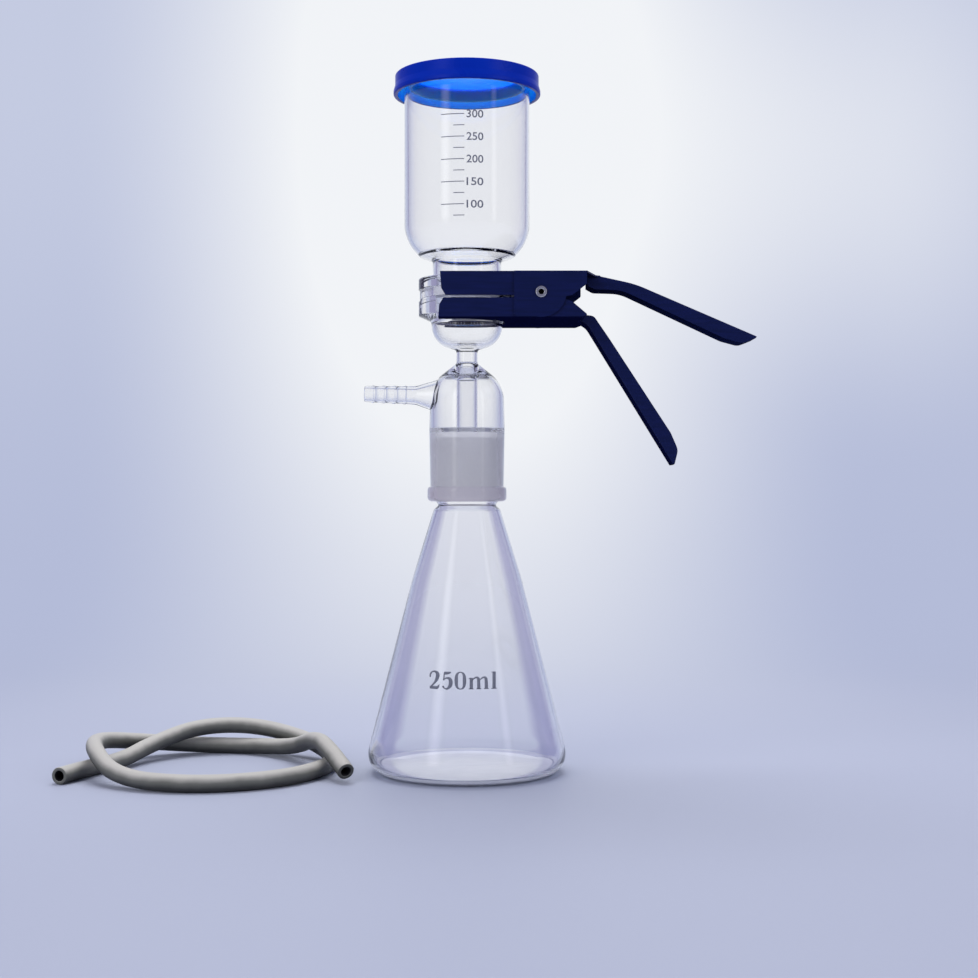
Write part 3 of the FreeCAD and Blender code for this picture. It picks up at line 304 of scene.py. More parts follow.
grain_colour = blend_colours(grain_group, share, given["Low colour"], given["High colour"])
link(grain_group, grain_colour, result["Colour"])
link(grain_group, speckle.outputs["Fac"], result["Grain"])


def grain(material, scale, detail=3.0, stretch=(1, 1, 1), edges=(0.3, 0.7), colours=((0, 0, 0), (1, 1, 1))):
    """Place the grain group in a material with its own values."""
    made = node(material, "ShaderNodeGroup", node_tree=grain_group)
    made.inputs["Scale"].default_value = scale
    made.inputs["Detail"].default_value = detail
    made.inputs["Stretch"].default_value = stretch
    made.inputs["Low edge"].default_value, made.inputs["High edge"].default_value = edges
    made.inputs["Low colour"].default_value = (*colours[0], 1)
    made.inputs["High colour"].default_value = (*colours[1], 1)
    return made.outputs


def grained(name, roughness, settings, relief=None, **sockets):
    """A material whose colour follows the grain, and its relief too where a (strength, depth) is given."""
    material, shader = new_material(name)
    pattern = grain(material, **settings)
    link(material, pattern["Colour"], shader.inputs["Base Color"])
    shader.inputs["Roughness"].default_value = roughness
    for socket, value in sockets.items():
        shader.inputs[socket.replace("_", " ")].default_value = value
    if relief:
        bump(material, shader, pattern["Grain"], *relief)
    return material, shader, pattern["Grain"]


print("grain group nodes:", len(grain_group.nodes))

# %% [markdown]
# ## Sweep material
#
# The sweep is lavender, lighter as it rises, with a wide white glow behind the upper half of the
# unit and a fainter one high on the right, as two lamps behind frosted acrylic give; the rise and
# the glows are painted light. Beyond the view it turns to a deep lilac, painted shade for the darker
# studio around, which the rims of the glass pick up. Near the unit it is an ordinary matt surface
# that takes the shadow. Further back it glows by itself, so its level doesn't depend on the lamps.

# %% Sweep material
def soft_glow(material, place, centre, reach, power):
    """A round painted pool of light on the sweep: its power at the centre, fading smoothly to nothing."""
    spot = node(material, "ShaderNodeMapping", vector_type="TEXTURE")
    spot.inputs["Location"].default_value = centre
    spot.inputs["Scale"].default_value = reach
    fade = node(material, "ShaderNodeTexGradient", gradient_type="SPHERICAL")
    smooth = node(material, "ShaderNodeMapRange", interpolation_type="SMOOTHSTEP")
    smooth.inputs["To Max"].default_value = power
    link(material, place, spot.inputs["Vector"])
    link(material, spot.outputs["Vector"], fade.inputs["Vector"])
    link(material, fade.outputs["Fac"], smooth.inputs["Value"])
    return smooth.outputs["Result"]


sweep_paint, sweep_shader = new_material("pale_sweep")
sweep_shader.inputs["Base Color"].default_value = (0.33, 0.355, 0.445, 1)
sweep_shader.inputs["Roughness"].default_value = 0.6
place = node(sweep_paint, "ShaderNodeTexCoord").outputs["Object"]
split = node(sweep_paint, "ShaderNodeSeparateXYZ")
link(sweep_paint, place, split.inputs["Vector"])
# Painted light: two round pools of light on the sweep.
main_glow = soft_glow(sweep_paint, place, (-0.013, 0.6, 0.674), (0.552, 9.0, 1.07), 1.65)
side_glow = soft_glow(sweep_paint, place, (0.505, 0.6, 0.627), (0.366, 9.0, 0.44), 0.55)
both_glows = node(sweep_paint, "ShaderNodeMath", operation="ADD", use_clamp=True)
link(sweep_paint, main_glow, both_glows.inputs[0])
link(sweep_paint, side_glow, both_glows.inputs[1])
# Painted light: the lavender gets lighter as the sweep rises.
lavender = blend_colours(sweep_paint, smooth_between(sweep_paint, split.outputs["Z"], 0.0, 0.75),
                         (0.455, 0.50, 0.687), (0.553, 0.596, 0.756))
lit = blend_colours(sweep_paint, both_glows.outputs["Value"], lavender, (0.884, 0.902, 0.933))
sideways = node(sweep_paint, "ShaderNodeMath", operation="ABSOLUTE")
link(sweep_paint, split.outputs["X"], sideways.inputs[0])
# Painted shade: beyond the view at the sides the sweep turns deep lilac.
painted_dark_sides = smooth_between(sweep_paint, sideways.outputs["Value"], 0.74, 1.05)
glowing = node(sweep_paint, "ShaderNodeEmission")
link(sweep_paint, blend_colours(sweep_paint, painted_dark_sides, lit, (0.30, 0.29, 0.47)), glowing.inputs["Color"])
sweep_mix = node(sweep_paint, "ShaderNodeMixShader")
link(sweep_paint, smooth_between(sweep_paint, split.outputs["Y"], 0.05, 0.8), sweep_mix.inputs["Fac"])
link(sweep_paint, sweep_shader.outputs["BSDF"], sweep_mix.inputs[1])
link(sweep_paint, glowing.outputs["Emission"], sweep_mix.inputs[2])
finish_surface(sweep_paint, sweep_mix.outputs["Shader"])
dress(sweep, sweep_paint)
print("sweep paint nodes:", len(sweep_paint.node_tree.nodes))

# %% [markdown]
# ## Lamps
#
# Three very large soft boxes light the unit plainly: one in front on the left, one on the right
# and one above, a little behind. Their hard-edged mirror images would cover the glass, so glossy
# rays don't see them. Two reflector cards that fade towards their edges give the soft streaks
# instead. A deep lavender world fills the rest, and the glass edges pick that up.

# %% Lamps and world
def soft_lamp(name, place, aim, size, power):
    """A large soft box that lights the unit but isn't mirrored in it."""
    direction = Vector(aim) - Vector(place)
    bpy.ops.object.light_add(type="AREA", location=place,
                             rotation=direction.to_track_quat("-Z", "Y").to_euler())
    lamp = bpy.context.object
    lamp.name = name
    lamp.data.shape = "RECTANGLE"
    lamp.data.size, lamp.data.size_y = size
    lamp.data.energy = power
    lamp.visible_glossy = False
    lamp.visible_transmission = False
    lamp.select_set(False)


def reflector_card(name, place, aim, size, strength):
    """A glowing card that only reflections see, brightest in its middle."""
    direction = Vector(aim) - Vector(place)
    bpy.ops.mesh.primitive_plane_add(size=1, location=place,
                                     rotation=direction.to_track_quat("Z", "Y").to_euler())
    card = bpy.context.object
    card.name = name
    card.scale = (*size, 1)
    card.select_set(False)
    paint, shader = new_material(name + "_glow")
    paint.node_tree.nodes.remove(shader)
    spot = node(paint, "ShaderNodeMapping", vector_type="TEXTURE")
    spot.inputs["Scale"].default_value = (0.5, 0.5, 1)
    fade = node(paint, "ShaderNodeTexGradient", gradient_type="SPHERICAL")
    bright = node(paint, "ShaderNodeMapRange", interpolation_type="SMOOTHSTEP")
    bright.inputs["To Max"].default_value = strength
    glow = node(paint, "ShaderNodeEmission")
    link(paint, node(paint, "ShaderNodeTexCoord").outputs["Object"], spot.inputs["Vector"])
    link(paint, spot.outputs["Vector"], fade.inputs["Vector"])
    link(paint, fade.outputs["Fac"], bright.inputs["Value"])
    link(paint, bright.outputs["Result"], glow.inputs["Strength"])
    finish_surface(paint, glow.outputs["Emission"])
    dress(card, paint)
    card.visible_camera = False
    card.visible_diffuse = False
    card.visible_transmission = False
    card.visible_shadow = False


soft_lamp("key_lamp", (-1.2, -1.3, 1.1), (0, 0, 0.2), (1.4, 1.8), 26)
soft_lamp("side_lamp", (1.4, -0.9, 0.8), (0, 0, 0.25), (1.0, 1.6), 14)
soft_lamp("top_lamp", (0.0, 0.35, 1.3), (0, 0, 0.1), (1.2, 0.8), 18)
reflector_card("left_card", (-0.75, -0.95, 0.55), (0, 0, 0.25), (0.55, 1.7), 3.0)
reflector_card("right_card", (0.9, -0.75, 0.5), (0, 0, 0.25), (0.35, 1.5), 2.0)

world = bpy.data.worlds.new("studio_world")
scene.world = world
world.use_nodes = True
world.node_tree.nodes["Background"].inputs["Color"].default_value = (0.50, 0.50, 0.72, 1)
world.node_tree.nodes["Background"].inputs["Strength"].default_value = 0.45
scene.view_settings.view_transform = "Standard"
scene.cycles.max_bounces = 24
scene.cycles.transmission_bounces = 24
scene.cycles.transparent_max_bounces = 24

# %% [markdown]
# ## Clear glass
#
# Laboratory glass bends light, so it is a Principled shader with full transmission and the index
# of borosilicate. A lamp can't shine through bent glass cheaply, which would leave a black shadow
# on the bench, so rays from the lamps meet a faintly tinted clear shader instead. Where the wall
# is seen at a slant, Layer Weight paints a lilac band inside the outline and a dark line at the
# outline itself: a painted reflection of the darker studio at the sides.
# The flask's foot is pressed, not blown, and its uneven inside scatters some light. A ground joint
# is glass roughened with carborundum, so it is milky and shows what is behind it only as a blur.

# %% Glass materials
glass_index = 1.47


def clear_glass(name, tint, rim_painted_reflection, shadow):
    """Glass with a tint, a painted reflection tint in the band inside its outline, and a shadow colour; the
    outline itself gets a painted dark line.
    """
    material, shader = new_material(name)
    slant = node(material, "ShaderNodeLayerWeight")
    slant.inputs["Blend"].default_value = 0.5
    # Painted reflection: the rim colour tints the slanted band, and the last stop paints a dark line at the
    # outline.
    colour = ramp(material, slant.outputs["Facing"], [
        (0.31, tint), (0.37, rim_painted_reflection), (0.62, rim_painted_reflection), (0.68, tint), (0.9, tint), (0.96, (0.42, 0.42, 0.52)),
    ])
    link(material, colour, shader.inputs["Base Color"])
    shader.inputs["Roughness"].default_value = 0.0
    shader.inputs["IOR"].default_value = glass_index
    shader.inputs["Transmission Weight"].default_value = 1.0
    through = node(material, "ShaderNodeBsdfTransparent")
    through.inputs["Color"].default_value = (*shadow, 1)
    path = node(material, "ShaderNodeLightPath")
    mix = node(material, "ShaderNodeMixShader")
    link(material, path.outputs["Is Shadow Ray"], mix.inputs["Fac"])
    link(material, shader.outputs["BSDF"], mix.inputs[1])
    link(material, through.outputs["BSDF"], mix.inputs[2])
    finish_surface(material, mix.outputs["Shader"])
    return material


glass = clear_glass("borosilicate_glass", (0.99, 0.99, 0.995), (0.985, 0.985, 0.993), (0.95, 0.955, 0.975))
flask_glass = clear_glass("flask_glass", (0.98, 0.98, 0.99), (0.66, 0.645, 0.785), (0.80, 0.82, 0.87))
bead_glass = clear_glass("rosy_glass_bead", (0.97, 0.93, 0.97), (0.88, 0.82, 0.88), (0.93, 0.9, 0.95))

pressed = grained("pressed_glass_foot", 0.18, dict(
    scale=55.0, detail=2.0, edges=(0.35, 0.65), colours=((0.93, 0.935, 0.96), (0.99, 0.99, 1.0))),
    relief=(0.2, 0.002), IOR=glass_index, Transmission_Weight=0.3)[0]
ground = grained("ground_glass", 0.55, dict(
    scale=900.0, detail=2.0, colours=((0.90, 0.90, 0.93), (0.96, 0.96, 0.98))),
    relief=(0.25, 0.0003), IOR=glass_index, Transmission_Weight=0.6)[0]
print("glass:", [material.name for material in (glass, flask_glass, bead_glass, pressed, ground)])

# %% [markdown]
# ## Turned pieces
#
# Glass blown in a lathe, and the moulded lid, are round about one axis. Such a piece is drawn as
# half a section: a line of corners, each rounded with a vertex bevel as deep as its arc needs.
# Spin turns the section into a smooth shell with no flats.

# %% Helper: turn a half section
def draw_section(name, corners):
    """A line of edges in the XZ plane, in edit mode; a corner is (radius, height[, rounding]) in mm."""
    bpy.ops.mesh.primitive_plane_add(size=0.001, location=(0, 0, 0))
    piece = bpy.context.object
    piece.name = name
    piece.data.name = name
    bpy.ops.object.mode_set(mode="EDIT")
    bpy.ops.mesh.select_mode(type="VERT")
    bpy.ops.mesh.select_all(action="SELECT")
    bpy.ops.mesh.merge(type="CENTER")
    first = corners[0]
    bpy.ops.transform.translate(value=mm(first[0], 0, first[1]))
    for before, after in zip(corners, corners[1:]):
        bpy.ops.mesh.extrude_region_move(
            TRANSFORM_OT_translate={"value": mm(after[0] - before[0], 0, after[1] - before[1])})
    return piece


def pick_near(piece, place, reach=2e-6):
    """Select the one vertex at a place, in edit mode."""
    bpy.ops.object.mode_set(mode="OBJECT")
    for item in (*piece.data.edges, *piece.data.polygons):
        item.select = False
    for vertex in piece.data.vertices:
        vertex.select = (vertex.co - place).length < reach
    bpy.ops.object.mode_set(mode="EDIT")


def round_corners(piece, corners, closed):
    """Bevel the vertex at each corner that has a rounding."""
    bpy.ops.mesh.select_mode(type="VERT")
    count = len(corners)
    for i, corner in enumerate(corners):
        if len(corner) < 3 or (not closed and i in (0, count - 1)):
            continue
        here = Vector((corner[0], 0, corner[1]))
        back = Vector((corners[i - 1][0], 0, corners[i - 1][1])) - here
        ahead = Vector((corners[(i + 1) % count][0], 0, corners[(i + 1) % count][1])) - here
        turn = back.angle(ahead)
        depth = corner[2] / math.tan(turn / 2)
        pick_near(piece, here * 0.001)
        steps = max(3, int(math.degrees(math.pi - turn) / 7))
        bpy.ops.mesh.bevel(offset_type="OFFSET", offset=depth * 0.001, segments=steps,
                           profile=0.5, affect="VERTICES")


def turned(name, corners, closed=True, steps=144, smooth=32):
    """Round the section's corners, close it if it is a ring, and spin it about the Z axis."""
    piece = draw_section(name, corners)
    if closed:
        first, last = (Vector(mm(c[0], 0, c[1])) for c in (corners[0], corners[-1]))
        bpy.ops.object.mode_set(mode="OBJECT")
        for vertex in piece.data.vertices:
            vertex.select = min((vertex.co - first).length, (vertex.co - last).length) < 2e-6
        bpy.ops.object.mode_set(mode="EDIT")
        bpy.ops.mesh.edge_face_add()
    round_corners(piece, corners, closed)
    bpy.ops.mesh.select_all(action="SELECT")
    bpy.ops.mesh.spin(steps=steps, angle=2 * math.pi, center=(0, 0, 0), axis=(0, 0, 1))
    bpy.ops.mesh.select_all(action="SELECT")
    bpy.ops.mesh.remove_doubles(threshold=0.000004)
    bpy.ops.mesh.normals_make_consistent(inside=False)
    bpy.ops.object.mode_set(mode="OBJECT")
    bpy.ops.object.shade_smooth_by_angle(angle=math.radians(smooth))
    piece.select_set(False)
    print(name, len(piece.data.polygons), "faces")
    return piece


def assign_by_place(piece, slot_index, wanted):
    """Give the faces that the test picks another material slot."""
    for polygon in piece.data.polygons:
        centre = polygon.center
        if wanted(math.hypot(centre.x, centre.y) * 1000, centre.z * 1000):
            polygon.material_index = slot_index


# %% [markdown]
# ## Receiving flask
#
# A conical flask with a thick pressed foot, a short waist and a ground cone on its neck. Its wall
# is real: the section goes up the outside and down the inside. The ground zone is its own
# material, on the outer faces of the cone only.

# %% Flask
flask = turned("flask_glass", [
    (0, 0), (62.5, 0, 12), (32.8, 115.5, 160), (20, 157, 1.6), (17.2, 159.6, 0.8), (20, 164.8),
    (18.25, 199.8, 0.6), (15.95, 199.8, 0.6), (17.7, 164.8, 3), (15.2, 160.2, 1.5), (18, 156.2, 3),
    (30.8, 115, 158), (59.84, 2.6, 10), (0, 2.6),
], closed=False)
dress(flask, flask_glass, ground, pressed)
assign_by_place(flask, 1, lambda r, z: 165.0 < z < 199.2 and r > 18.1 - (z - 199.8) * 0.05)
assign_by_place(flask, 2, lambda r, z: 2.0 < z < 4.0 and r < 56.5)
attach(flask, "receiver")
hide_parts("receiving_flask")

# %% [markdown]
# ## Filter head
#
# The head is one piece of glass: a ground socket with a beaded lip, a domed chamber with a drip
# tube sealed through it, a bulb, and a flange. Only the hose nozzle isn't round about the same
# axis, so it is turned on its own, tilted into place and joined with a Boolean. Its root reaches
# into the chamber at first. A second Boolean clears the chamber again and a third opens the bore,
# which widens towards the root as a blown side arm does.

# %% Head
head = turned("head_glass", [
    (5.1, 164), (5.1, 254.4, 3), (19.2, 258.4, 11), (19.2, 283.8), (20, 283.8), (20, 288.3),
    (28.2, 288.3, 0.5), (28.2, 281.5), (28.9, 281.5, 0.6), (28.9, 272.8, 0.8), (21.2, 269.5, 3),
    (21.2, 256.6, 13), (6.3, 252.6, 2), (6.3, 244.63, 2), (21.9, 232.4, 19), (22.6, 205.6),
    (21.9, 170.6, 0.8), (23.7, 170.6, 2.6), (23.7, 162, 2.6), (20.19, 162, 0.5), (18.14, 203, 1),
    (19.8, 205.6, 1.5), (19.8, 231.35, 14.5), (13.4, 236.36, 1.5), (6.3, 235.6, 1.5), (6.3, 164),
])

# %% Hose nozzle
ridges = []
for count in range(4):
    start = 36.2 + 6.4 * count
    foot = 5.4 - (start - 30.5) * 0.0194
    ridges += [(foot, start), (foot + 0.35, start + 0.6, 0.6), (foot - 0.05, start + 2.6)]
nozzle = turned("nozzle", [
    (0, 16), (10.4, 16), (5.6, 30.5, 7), *ridges, (4.8, 61.5, 0.9), (0, 61.5),
], closed=False, steps=72)
bore = turned("nozzle_bore", [
    (0, 15), (8, 15), (3.4, 30.5, 6), (3.4, 62.5), (0, 62.5),
], closed=False, steps=72)
clearing = turned("chamber_clearing", [
    (13.6, 206.6), (19.79, 206.6), (19.79, 231.33, 14.5), (13.6, 236.18),
])
for piece in (nozzle, bore):
    piece.rotation_euler = (0, math.radians(-90 + 1.7), 0)
    piece.location = (0, 0, 0.2246)
    bpy.ops.object.select_all(action="DESELECT")
    piece.select_set(True)
    bpy.context.view_layer.objects.active = piece
    bpy.ops.object.transform_apply(location=True, rotation=True, scale=True)
bpy.ops.object.select_all(action="DESELECT")
bpy.context.view_layer.objects.active = head
for operation, tool in (("UNION", nozzle), ("DIFFERENCE", clearing), ("DIFFERENCE", bore)):
    cutter = head.modifiers.new(tool.name, "BOOLEAN")
    cutter.operation = operation
    cutter.solver = "EXACT"
    cutter.object = tool
    bpy.ops.object.modifier_apply(modifier=cutter.name)
    bpy.data.objects.remove(tool)
head.select_set(True)
bpy.ops.object.shade_smooth_by_angle(angle=math.radians(32))
head.select_set(False)
dress(head, glass, ground, bead_glass)
assign_by_place(head, 1, lambda r, z: 162.4 < z < 203.2 and r < 20.3 and r > 17.5)
assign_by_place(head, 2, lambda r, z: z < 170.7 and r > 20.4)
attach(head, "head")
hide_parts("filter_head")
print("head faces:", len(head.data.polygons))

# %% [markdown]
# ## Funnel cup
#
# The cup is a straight tube with a rounded funnel floor that flattens to a shoulder, then a short
# neck and a ground flange.

# %% Cup
cup = turned("cup_glass", [
    (18, 288.3), (29, 288.3, 0.5), (29, 295, 0.9), (20.5, 295, 1.6), (20.5, 305.8, 1.5),
    (28.2, 308.4, 2), (37.5, 318.72, 22), (37.5, 413.8, 0.9), (35, 413.8, 0.9),
    (35, 319.66, 19.5), (27.2, 311, 3), (18, 308, 2),
])
dress(cup, glass)
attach(cup, "head")
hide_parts("funnel_cup")

# %% [markdown]
# ## Sintered disc
#
# Sintered glass is white powder melted just enough to stick, so it scatters light and looks like
# fine sugar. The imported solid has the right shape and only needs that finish.

# %% Sintered disc
sinter = grained("sintered_glass", 0.85, dict(
    scale=2500.0, detail=2.0, edges=(0.35, 0.65), colours=((0.74, 0.75, 0.80), (0.90, 0.90, 0.93))),
    relief=(0.5, 0.0004))[0]
dress(frame["nodes"]["sintered_disc"], sinter)
print("sintered disc:", sinter.name)

# %% [markdown]
# ## Push-on lid
#
# The lid is moulded in blue plastic: a flat top, a skirt that flares at its foot, and a ring
# that plugs the cup. Moulded gloss isn't perfect, so a fine noise varies the roughness a little.
# The thin plastic lets light through, so its inner side has subsurface scattering and a far
# brighter blue than the outside, painted light that stands in for the light coming through.

# %% Lid
lid = turned("lid_moulding", [
    (0, 414.9), (32.6, 414.9, 0.6), (32.6, 407.6, 0.7), (34.6, 407.6, 0.7), (34.6, 414.1),
    (41.4, 414.1, 0.6), (41.4, 404.8, 0.6), (44, 404.8, 0.9), (44, 407.2, 2),
    (43, 410.6, 3), (43, 416.8, 0.8), (0, 416.8),
], closed=False)
blue, blue_shader, flow = grained("blue_moulding", 0.3, dict(
    scale=60.0, colours=((0.0, 0.018, 0.325), (0.0, 0.021, 0.35))), Specular_IOR_Level=0.1)
haze = node(blue, "ShaderNodeMapRange")
haze.inputs["To Min"].default_value = 0.22
haze.inputs["To Max"].default_value = 0.36
link(blue, flow, haze.inputs["Value"])
link(blue, haze.outputs["Result"], blue_shader.inputs["Roughness"])
# Painted light: the inner faces take a far brighter blue than the outside, for light through the plastic.
lit_inner_blue = grained("blue_moulding_inside_painted_light", 0.4, dict(
    scale=60.0, colours=((0.0, 0.23, 0.97), (0.01, 0.26, 0.99))),
    Subsurface_Weight=1.0, Subsurface_Radius=(0.008, 0.010, 0.02), Subsurface_Scale=1.0)[0]
dress(lid, blue, lit_inner_blue)
assign_by_place(lid, 1, lambda r, z: r < 41.5 and z < 415.2)
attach(lid, "lid")
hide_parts("push_on_lid")

# %% [markdown]
# ## Spring clamp
#
# Two folded halves of dark blue anodised sheet turn on one rivet, and a torsion spring pushes
# their handles apart. The imported meshes have the right shape but come as loose triangles. Each is
# copied, its doubles are merged, and its folds are shaded smooth. The sheet is brushed on the
# faces that show. Its downward faces get a darker, matt copy of the sheet: painted shade, which
# also keeps them from mirroring the bright bench. The rivet is a tube, and no light gets into its
# bore, so the bore's faces get a near-black painted shade.

# %% Helper: smooth copy of a imported node
def smooth_copy(node_name, piece_name, angle=30):
    """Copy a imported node's mesh, merge its doubles, smooth its folds and let it replace the node."""
    original = frame["nodes"][node_name]
    piece = original.copy()
    piece.data = original.data.copy()
    piece.name = piece_name
    piece.parent = None
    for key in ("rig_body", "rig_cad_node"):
        if key in piece:
            del piece[key]
    scene.collection.objects.link(piece)
    bpy.ops.object.select_all(action="DESELECT")
    piece.select_set(True)
    bpy.context.view_layer.objects.active = piece
    bpy.ops.object.mode_set(mode="EDIT")
    bpy.ops.mesh.select_all(action="SELECT")
    bpy.ops.mesh.remove_doubles(threshold=0.000002)
    bpy.ops.object.mode_set(mode="OBJECT")
    bpy.ops.mesh.customdata_custom_splitnormals_clear()
    bpy.ops.object.shade_smooth_by_angle(angle=math.radians(angle))
    piece.select_set(False)
    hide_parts(node_name)
    return piece


# %% Clamp halves
anodised = grained("blue_anodised_sheet", 0.4, dict(
    scale=700.0, stretch=(0.08, 1.0, 1.0), colours=((0.0006, 0.0042, 0.038), (0.0020, 0.0060, 0.056))),
    relief=(0.12, 0.0002), Specular_IOR_Level=0.22)[0]
# Painted shade: the downward faces get a darker blue copy of the sheet with no reflection.
shaded_underside = grained("anodised_underside_painted_shade", 0.8, dict(
    scale=700.0, colours=((0.0020, 0.0034, 0.022), (0.0040, 0.0050, 0.034))), Specular_IOR_Level=0.0)[0]
for half, body in (("clamp_upper_half", "clamp_upper"), ("clamp_lower_half", "clamp_lower")):
    sheet = smooth_copy(half, half + "_sheet")
    dress(sheet, anodised, shaded_underside)
    for polygon in sheet.data.polygons:
        if polygon.normal.z < -0.35:
            polygon.material_index = 1
    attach(sheet, body)
    print(sheet.name, len(sheet.data.polygons), "faces")

# %% Rivet and spring
pivot_x, pivot_z = mm(43.5, 283.8)
bore_reach = 0.00165
steel = grained("bright_steel", 0.27, dict(
    scale=500.0, stretch=(1.0, 0.2, 1.0), colours=((0.52, 0.52, 0.54), (0.66, 0.66, 0.67))), Metallic=1.0)[0]
rivet = smooth_copy("clamp_rivet", "rivet_steel")
# Painted shade: the bore's faces are near black because little light reaches into them.
painted_shade_bore = grained("painted_shade_bore", 0.9, dict(
    scale=800.0, detail=2.0, colours=((0.008, 0.008, 0.010), (0.018, 0.018, 0.022))),
    Specular_IOR_Level=0.1)[0]
dress(rivet, steel, painted_shade_bore)
for polygon in rivet.data.polygons:
    if math.hypot(polygon.center.x - pivot_x, polygon.center.z - pivot_z) < bore_reach:
        polygon.material_index = 1
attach(rivet, "clamp_lower")
spring = smooth_copy("clamp_spring", "spring_wire", 50)
dress(spring, steel)
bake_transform(spring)
print("rivet and spring:", len(rivet.data.polygons), "and", len(spring.data.polygons), "faces")

# %% [markdown]
# ## Hose rubber
#
# Vacuum rubber is matt, with a bloom of talc that lies in patches. The colour also runs from near
# black on faces that point down to light grey on faces that point up: painted light and shade, with
# the talc. The surface normal's Z says how far a spot faces up, and grain breaks it into patches.
# The bore takes the near-black painted shade that the rivet's bore has.

# %% Rubber
rubber, rubber_shader = new_material("grey_rubber")
bloom = grain(rubber, 90.0, 4.0)["Grain"]
normal_parts = node(rubber, "ShaderNodeSeparateXYZ")
link(rubber, node(rubber, "ShaderNodeNewGeometry").outputs["Normal"], normal_parts.inputs["Vector"])
talc_and_painted_top_light = node(rubber, "ShaderNodeMath", operation="MULTIPLY_ADD")
talc_and_painted_top_light.inputs[1].default_value = 0.3
link(rubber, bloom, talc_and_painted_top_light.inputs[0])
link(rubber, smooth_between(rubber, normal_parts.outputs["Z"], -0.5, 1.0, "LINEAR"), talc_and_painted_top_light.inputs[2])
# Painted light and shade with talc: near black on faces pointing down, light grey on faces pointing up.
link(rubber, ramp(rubber, talc_and_painted_top_light.outputs["Value"], [
    (0.15, (0.035, 0.036, 0.034)), (0.6, (0.115, 0.118, 0.105)), (1.0, (0.40, 0.39, 0.36)),
]), rubber_shader.inputs["Base Color"])
rubber_shader.inputs["Roughness"].default_value = 0.55
bump(rubber, rubber_shader, grain(rubber, 1800.0, 2.0)["Grain"], 0.15, 0.0002)
hose.data.materials[0] = rubber
# Painted shade: the hose's bore faces take the same near-black material.
hose.data.materials[1] = painted_shade_bore
inside_faces = sum(polygon.material_index == 1 for polygon in hose.data.polygons)
print("hose faces inside the bore:", inside_faces)

# %% [markdown]
# ## Printed scale
#
# The scale is fired enamel on the outside of the glass. Ticks and numerals are made flat in front
# of the unit and cut into narrow strips. Shrinkwrap then projects them onto the glass and Solidify
# gives them the thickness of a print. The flask's mark has thick and thin strokes with serifs, as
# no plain letter has, so it is drawn with curves whose radius is the breadth of a pen.

# %% Print helpers
ink = grained("grey_enamel", 0.6, dict(
    scale=1500.0, detail=2.0, colours=((0.12, 0.13, 0.17), (0.16, 0.17, 0.22))))[0]
print_distance = -80
strip_width = 1.2


def flat_tick(left, right, height, thick):
    """A flat horizontal bar in front of the unit, in mm."""
    bpy.ops.mesh.primitive_grid_add(
        x_subdivisions=12, y_subdivisions=1, size=1, location=mm((left + right) / 2, print_distance, height),
        rotation=(math.pi / 2, 0, 0))
    tick = bpy.context.object
    tick.scale = (*mm(right - left, thick), 1)
    bpy.ops.object.transform_apply(location=True, rotation=True, scale=True)
    return tick


def extent(piece):
    """The lowest and the highest corner of a flat mesh."""
    places = [vertex.co for vertex in piece.data.vertices]
    return [[pick(place[i] for place in places) for i in (0, 1)] for pick in (min, max)]


def stand_up(text, centre_x, centre_z, width, height):
    """Centre flat letters, give them their width and height in mm, and stand them before the unit."""
    low, high = extent(text)
    bpy.ops.object.mode_set(mode="EDIT")
    bpy.ops.mesh.select_all(action="SELECT")
    bpy.ops.transform.translate(value=(-(low[0] + high[0]) / 2, -(low[1] + high[1]) / 2, 0))
    bpy.ops.object.mode_set(mode="OBJECT")
    text.scale = (width * 0.001 / (high[0] - low[0]), height * 0.001 / (high[1] - low[1]), 1)
    text.rotation_euler = (math.pi / 2, 0, 0)
    text.location = mm(centre_x, print_distance, centre_z)
    bpy.ops.object.transform_apply(location=True, rotation=True, scale=True)
    return text


def flat_text(words, centre_x, centre_z, width, height, weight=0.0):
    """Words in Blender's own plain letters, cut into narrow strips so that they can bend."""
    bpy.ops.object.text_add(location=(0, 0, 0))
    bpy.context.object.data.body = words
    bpy.context.object.data.resolution_u = 4
    bpy.context.object.data.offset = weight
    bpy.ops.object.convert(target="MESH")
    text = bpy.context.object
    low, high = extent(text)
    bpy.ops.object.mode_set(mode="EDIT")
    bpy.ops.mesh.select_all(action="SELECT")
    bpy.ops.mesh.remove_doubles(threshold=0.0001)
    strips = int(width / strip_width)
    for i in range(1, strips):
        bpy.ops.mesh.select_all(action="SELECT")
        bpy.ops.mesh.bisect(plane_co=(low[0] + (high[0] - low[0]) * i / strips, 0, 0), plane_no=(1, 0, 0))
    bpy.ops.object.mode_set(mode="OBJECT")
    return stand_up(text, centre_x, centre_z, width, height)


def pen_text(strokes, centre_x, centre_z, width, height):
    """Letters drawn as with a broad pen: each stroke is a list of (x, y, breadth), in letter heights."""
    ink_line = bpy.data.curves.new("pen_text", "CURVE")
    ink_line.dimensions = "3D"
    ink_line.twist_mode = "Z_UP"
    ink_line.extrude = 1.0
    ink_line.resolution_u = 6
    for stroke in strokes:
        ring = stroke[0] == stroke[-1]
        points = stroke[:-1] if ring else stroke
        spline = ink_line.splines.new("NURBS")
        spline.points.add(len(points) - 1)
        for point, (x, y, breadth) in zip(spline.points, points):
            point.co = (x, y, 0, 1)
            point.radius = breadth / 2
            point.tilt = math.pi / 2
        spline.order_u = min(3, len(points))
        spline.use_cyclic_u = ring
        spline.use_endpoint_u = not ring
    text = bpy.data.objects.new("pen_text", ink_line)
    scene.collection.objects.link(text)
    bpy.ops.object.select_all(action="DESELECT")
    text.select_set(True)
    bpy.context.view_layer.objects.active = text
    bpy.ops.object.convert(target="MESH")
    return stand_up(bpy.context.object, centre_x, centre_z, width, height)


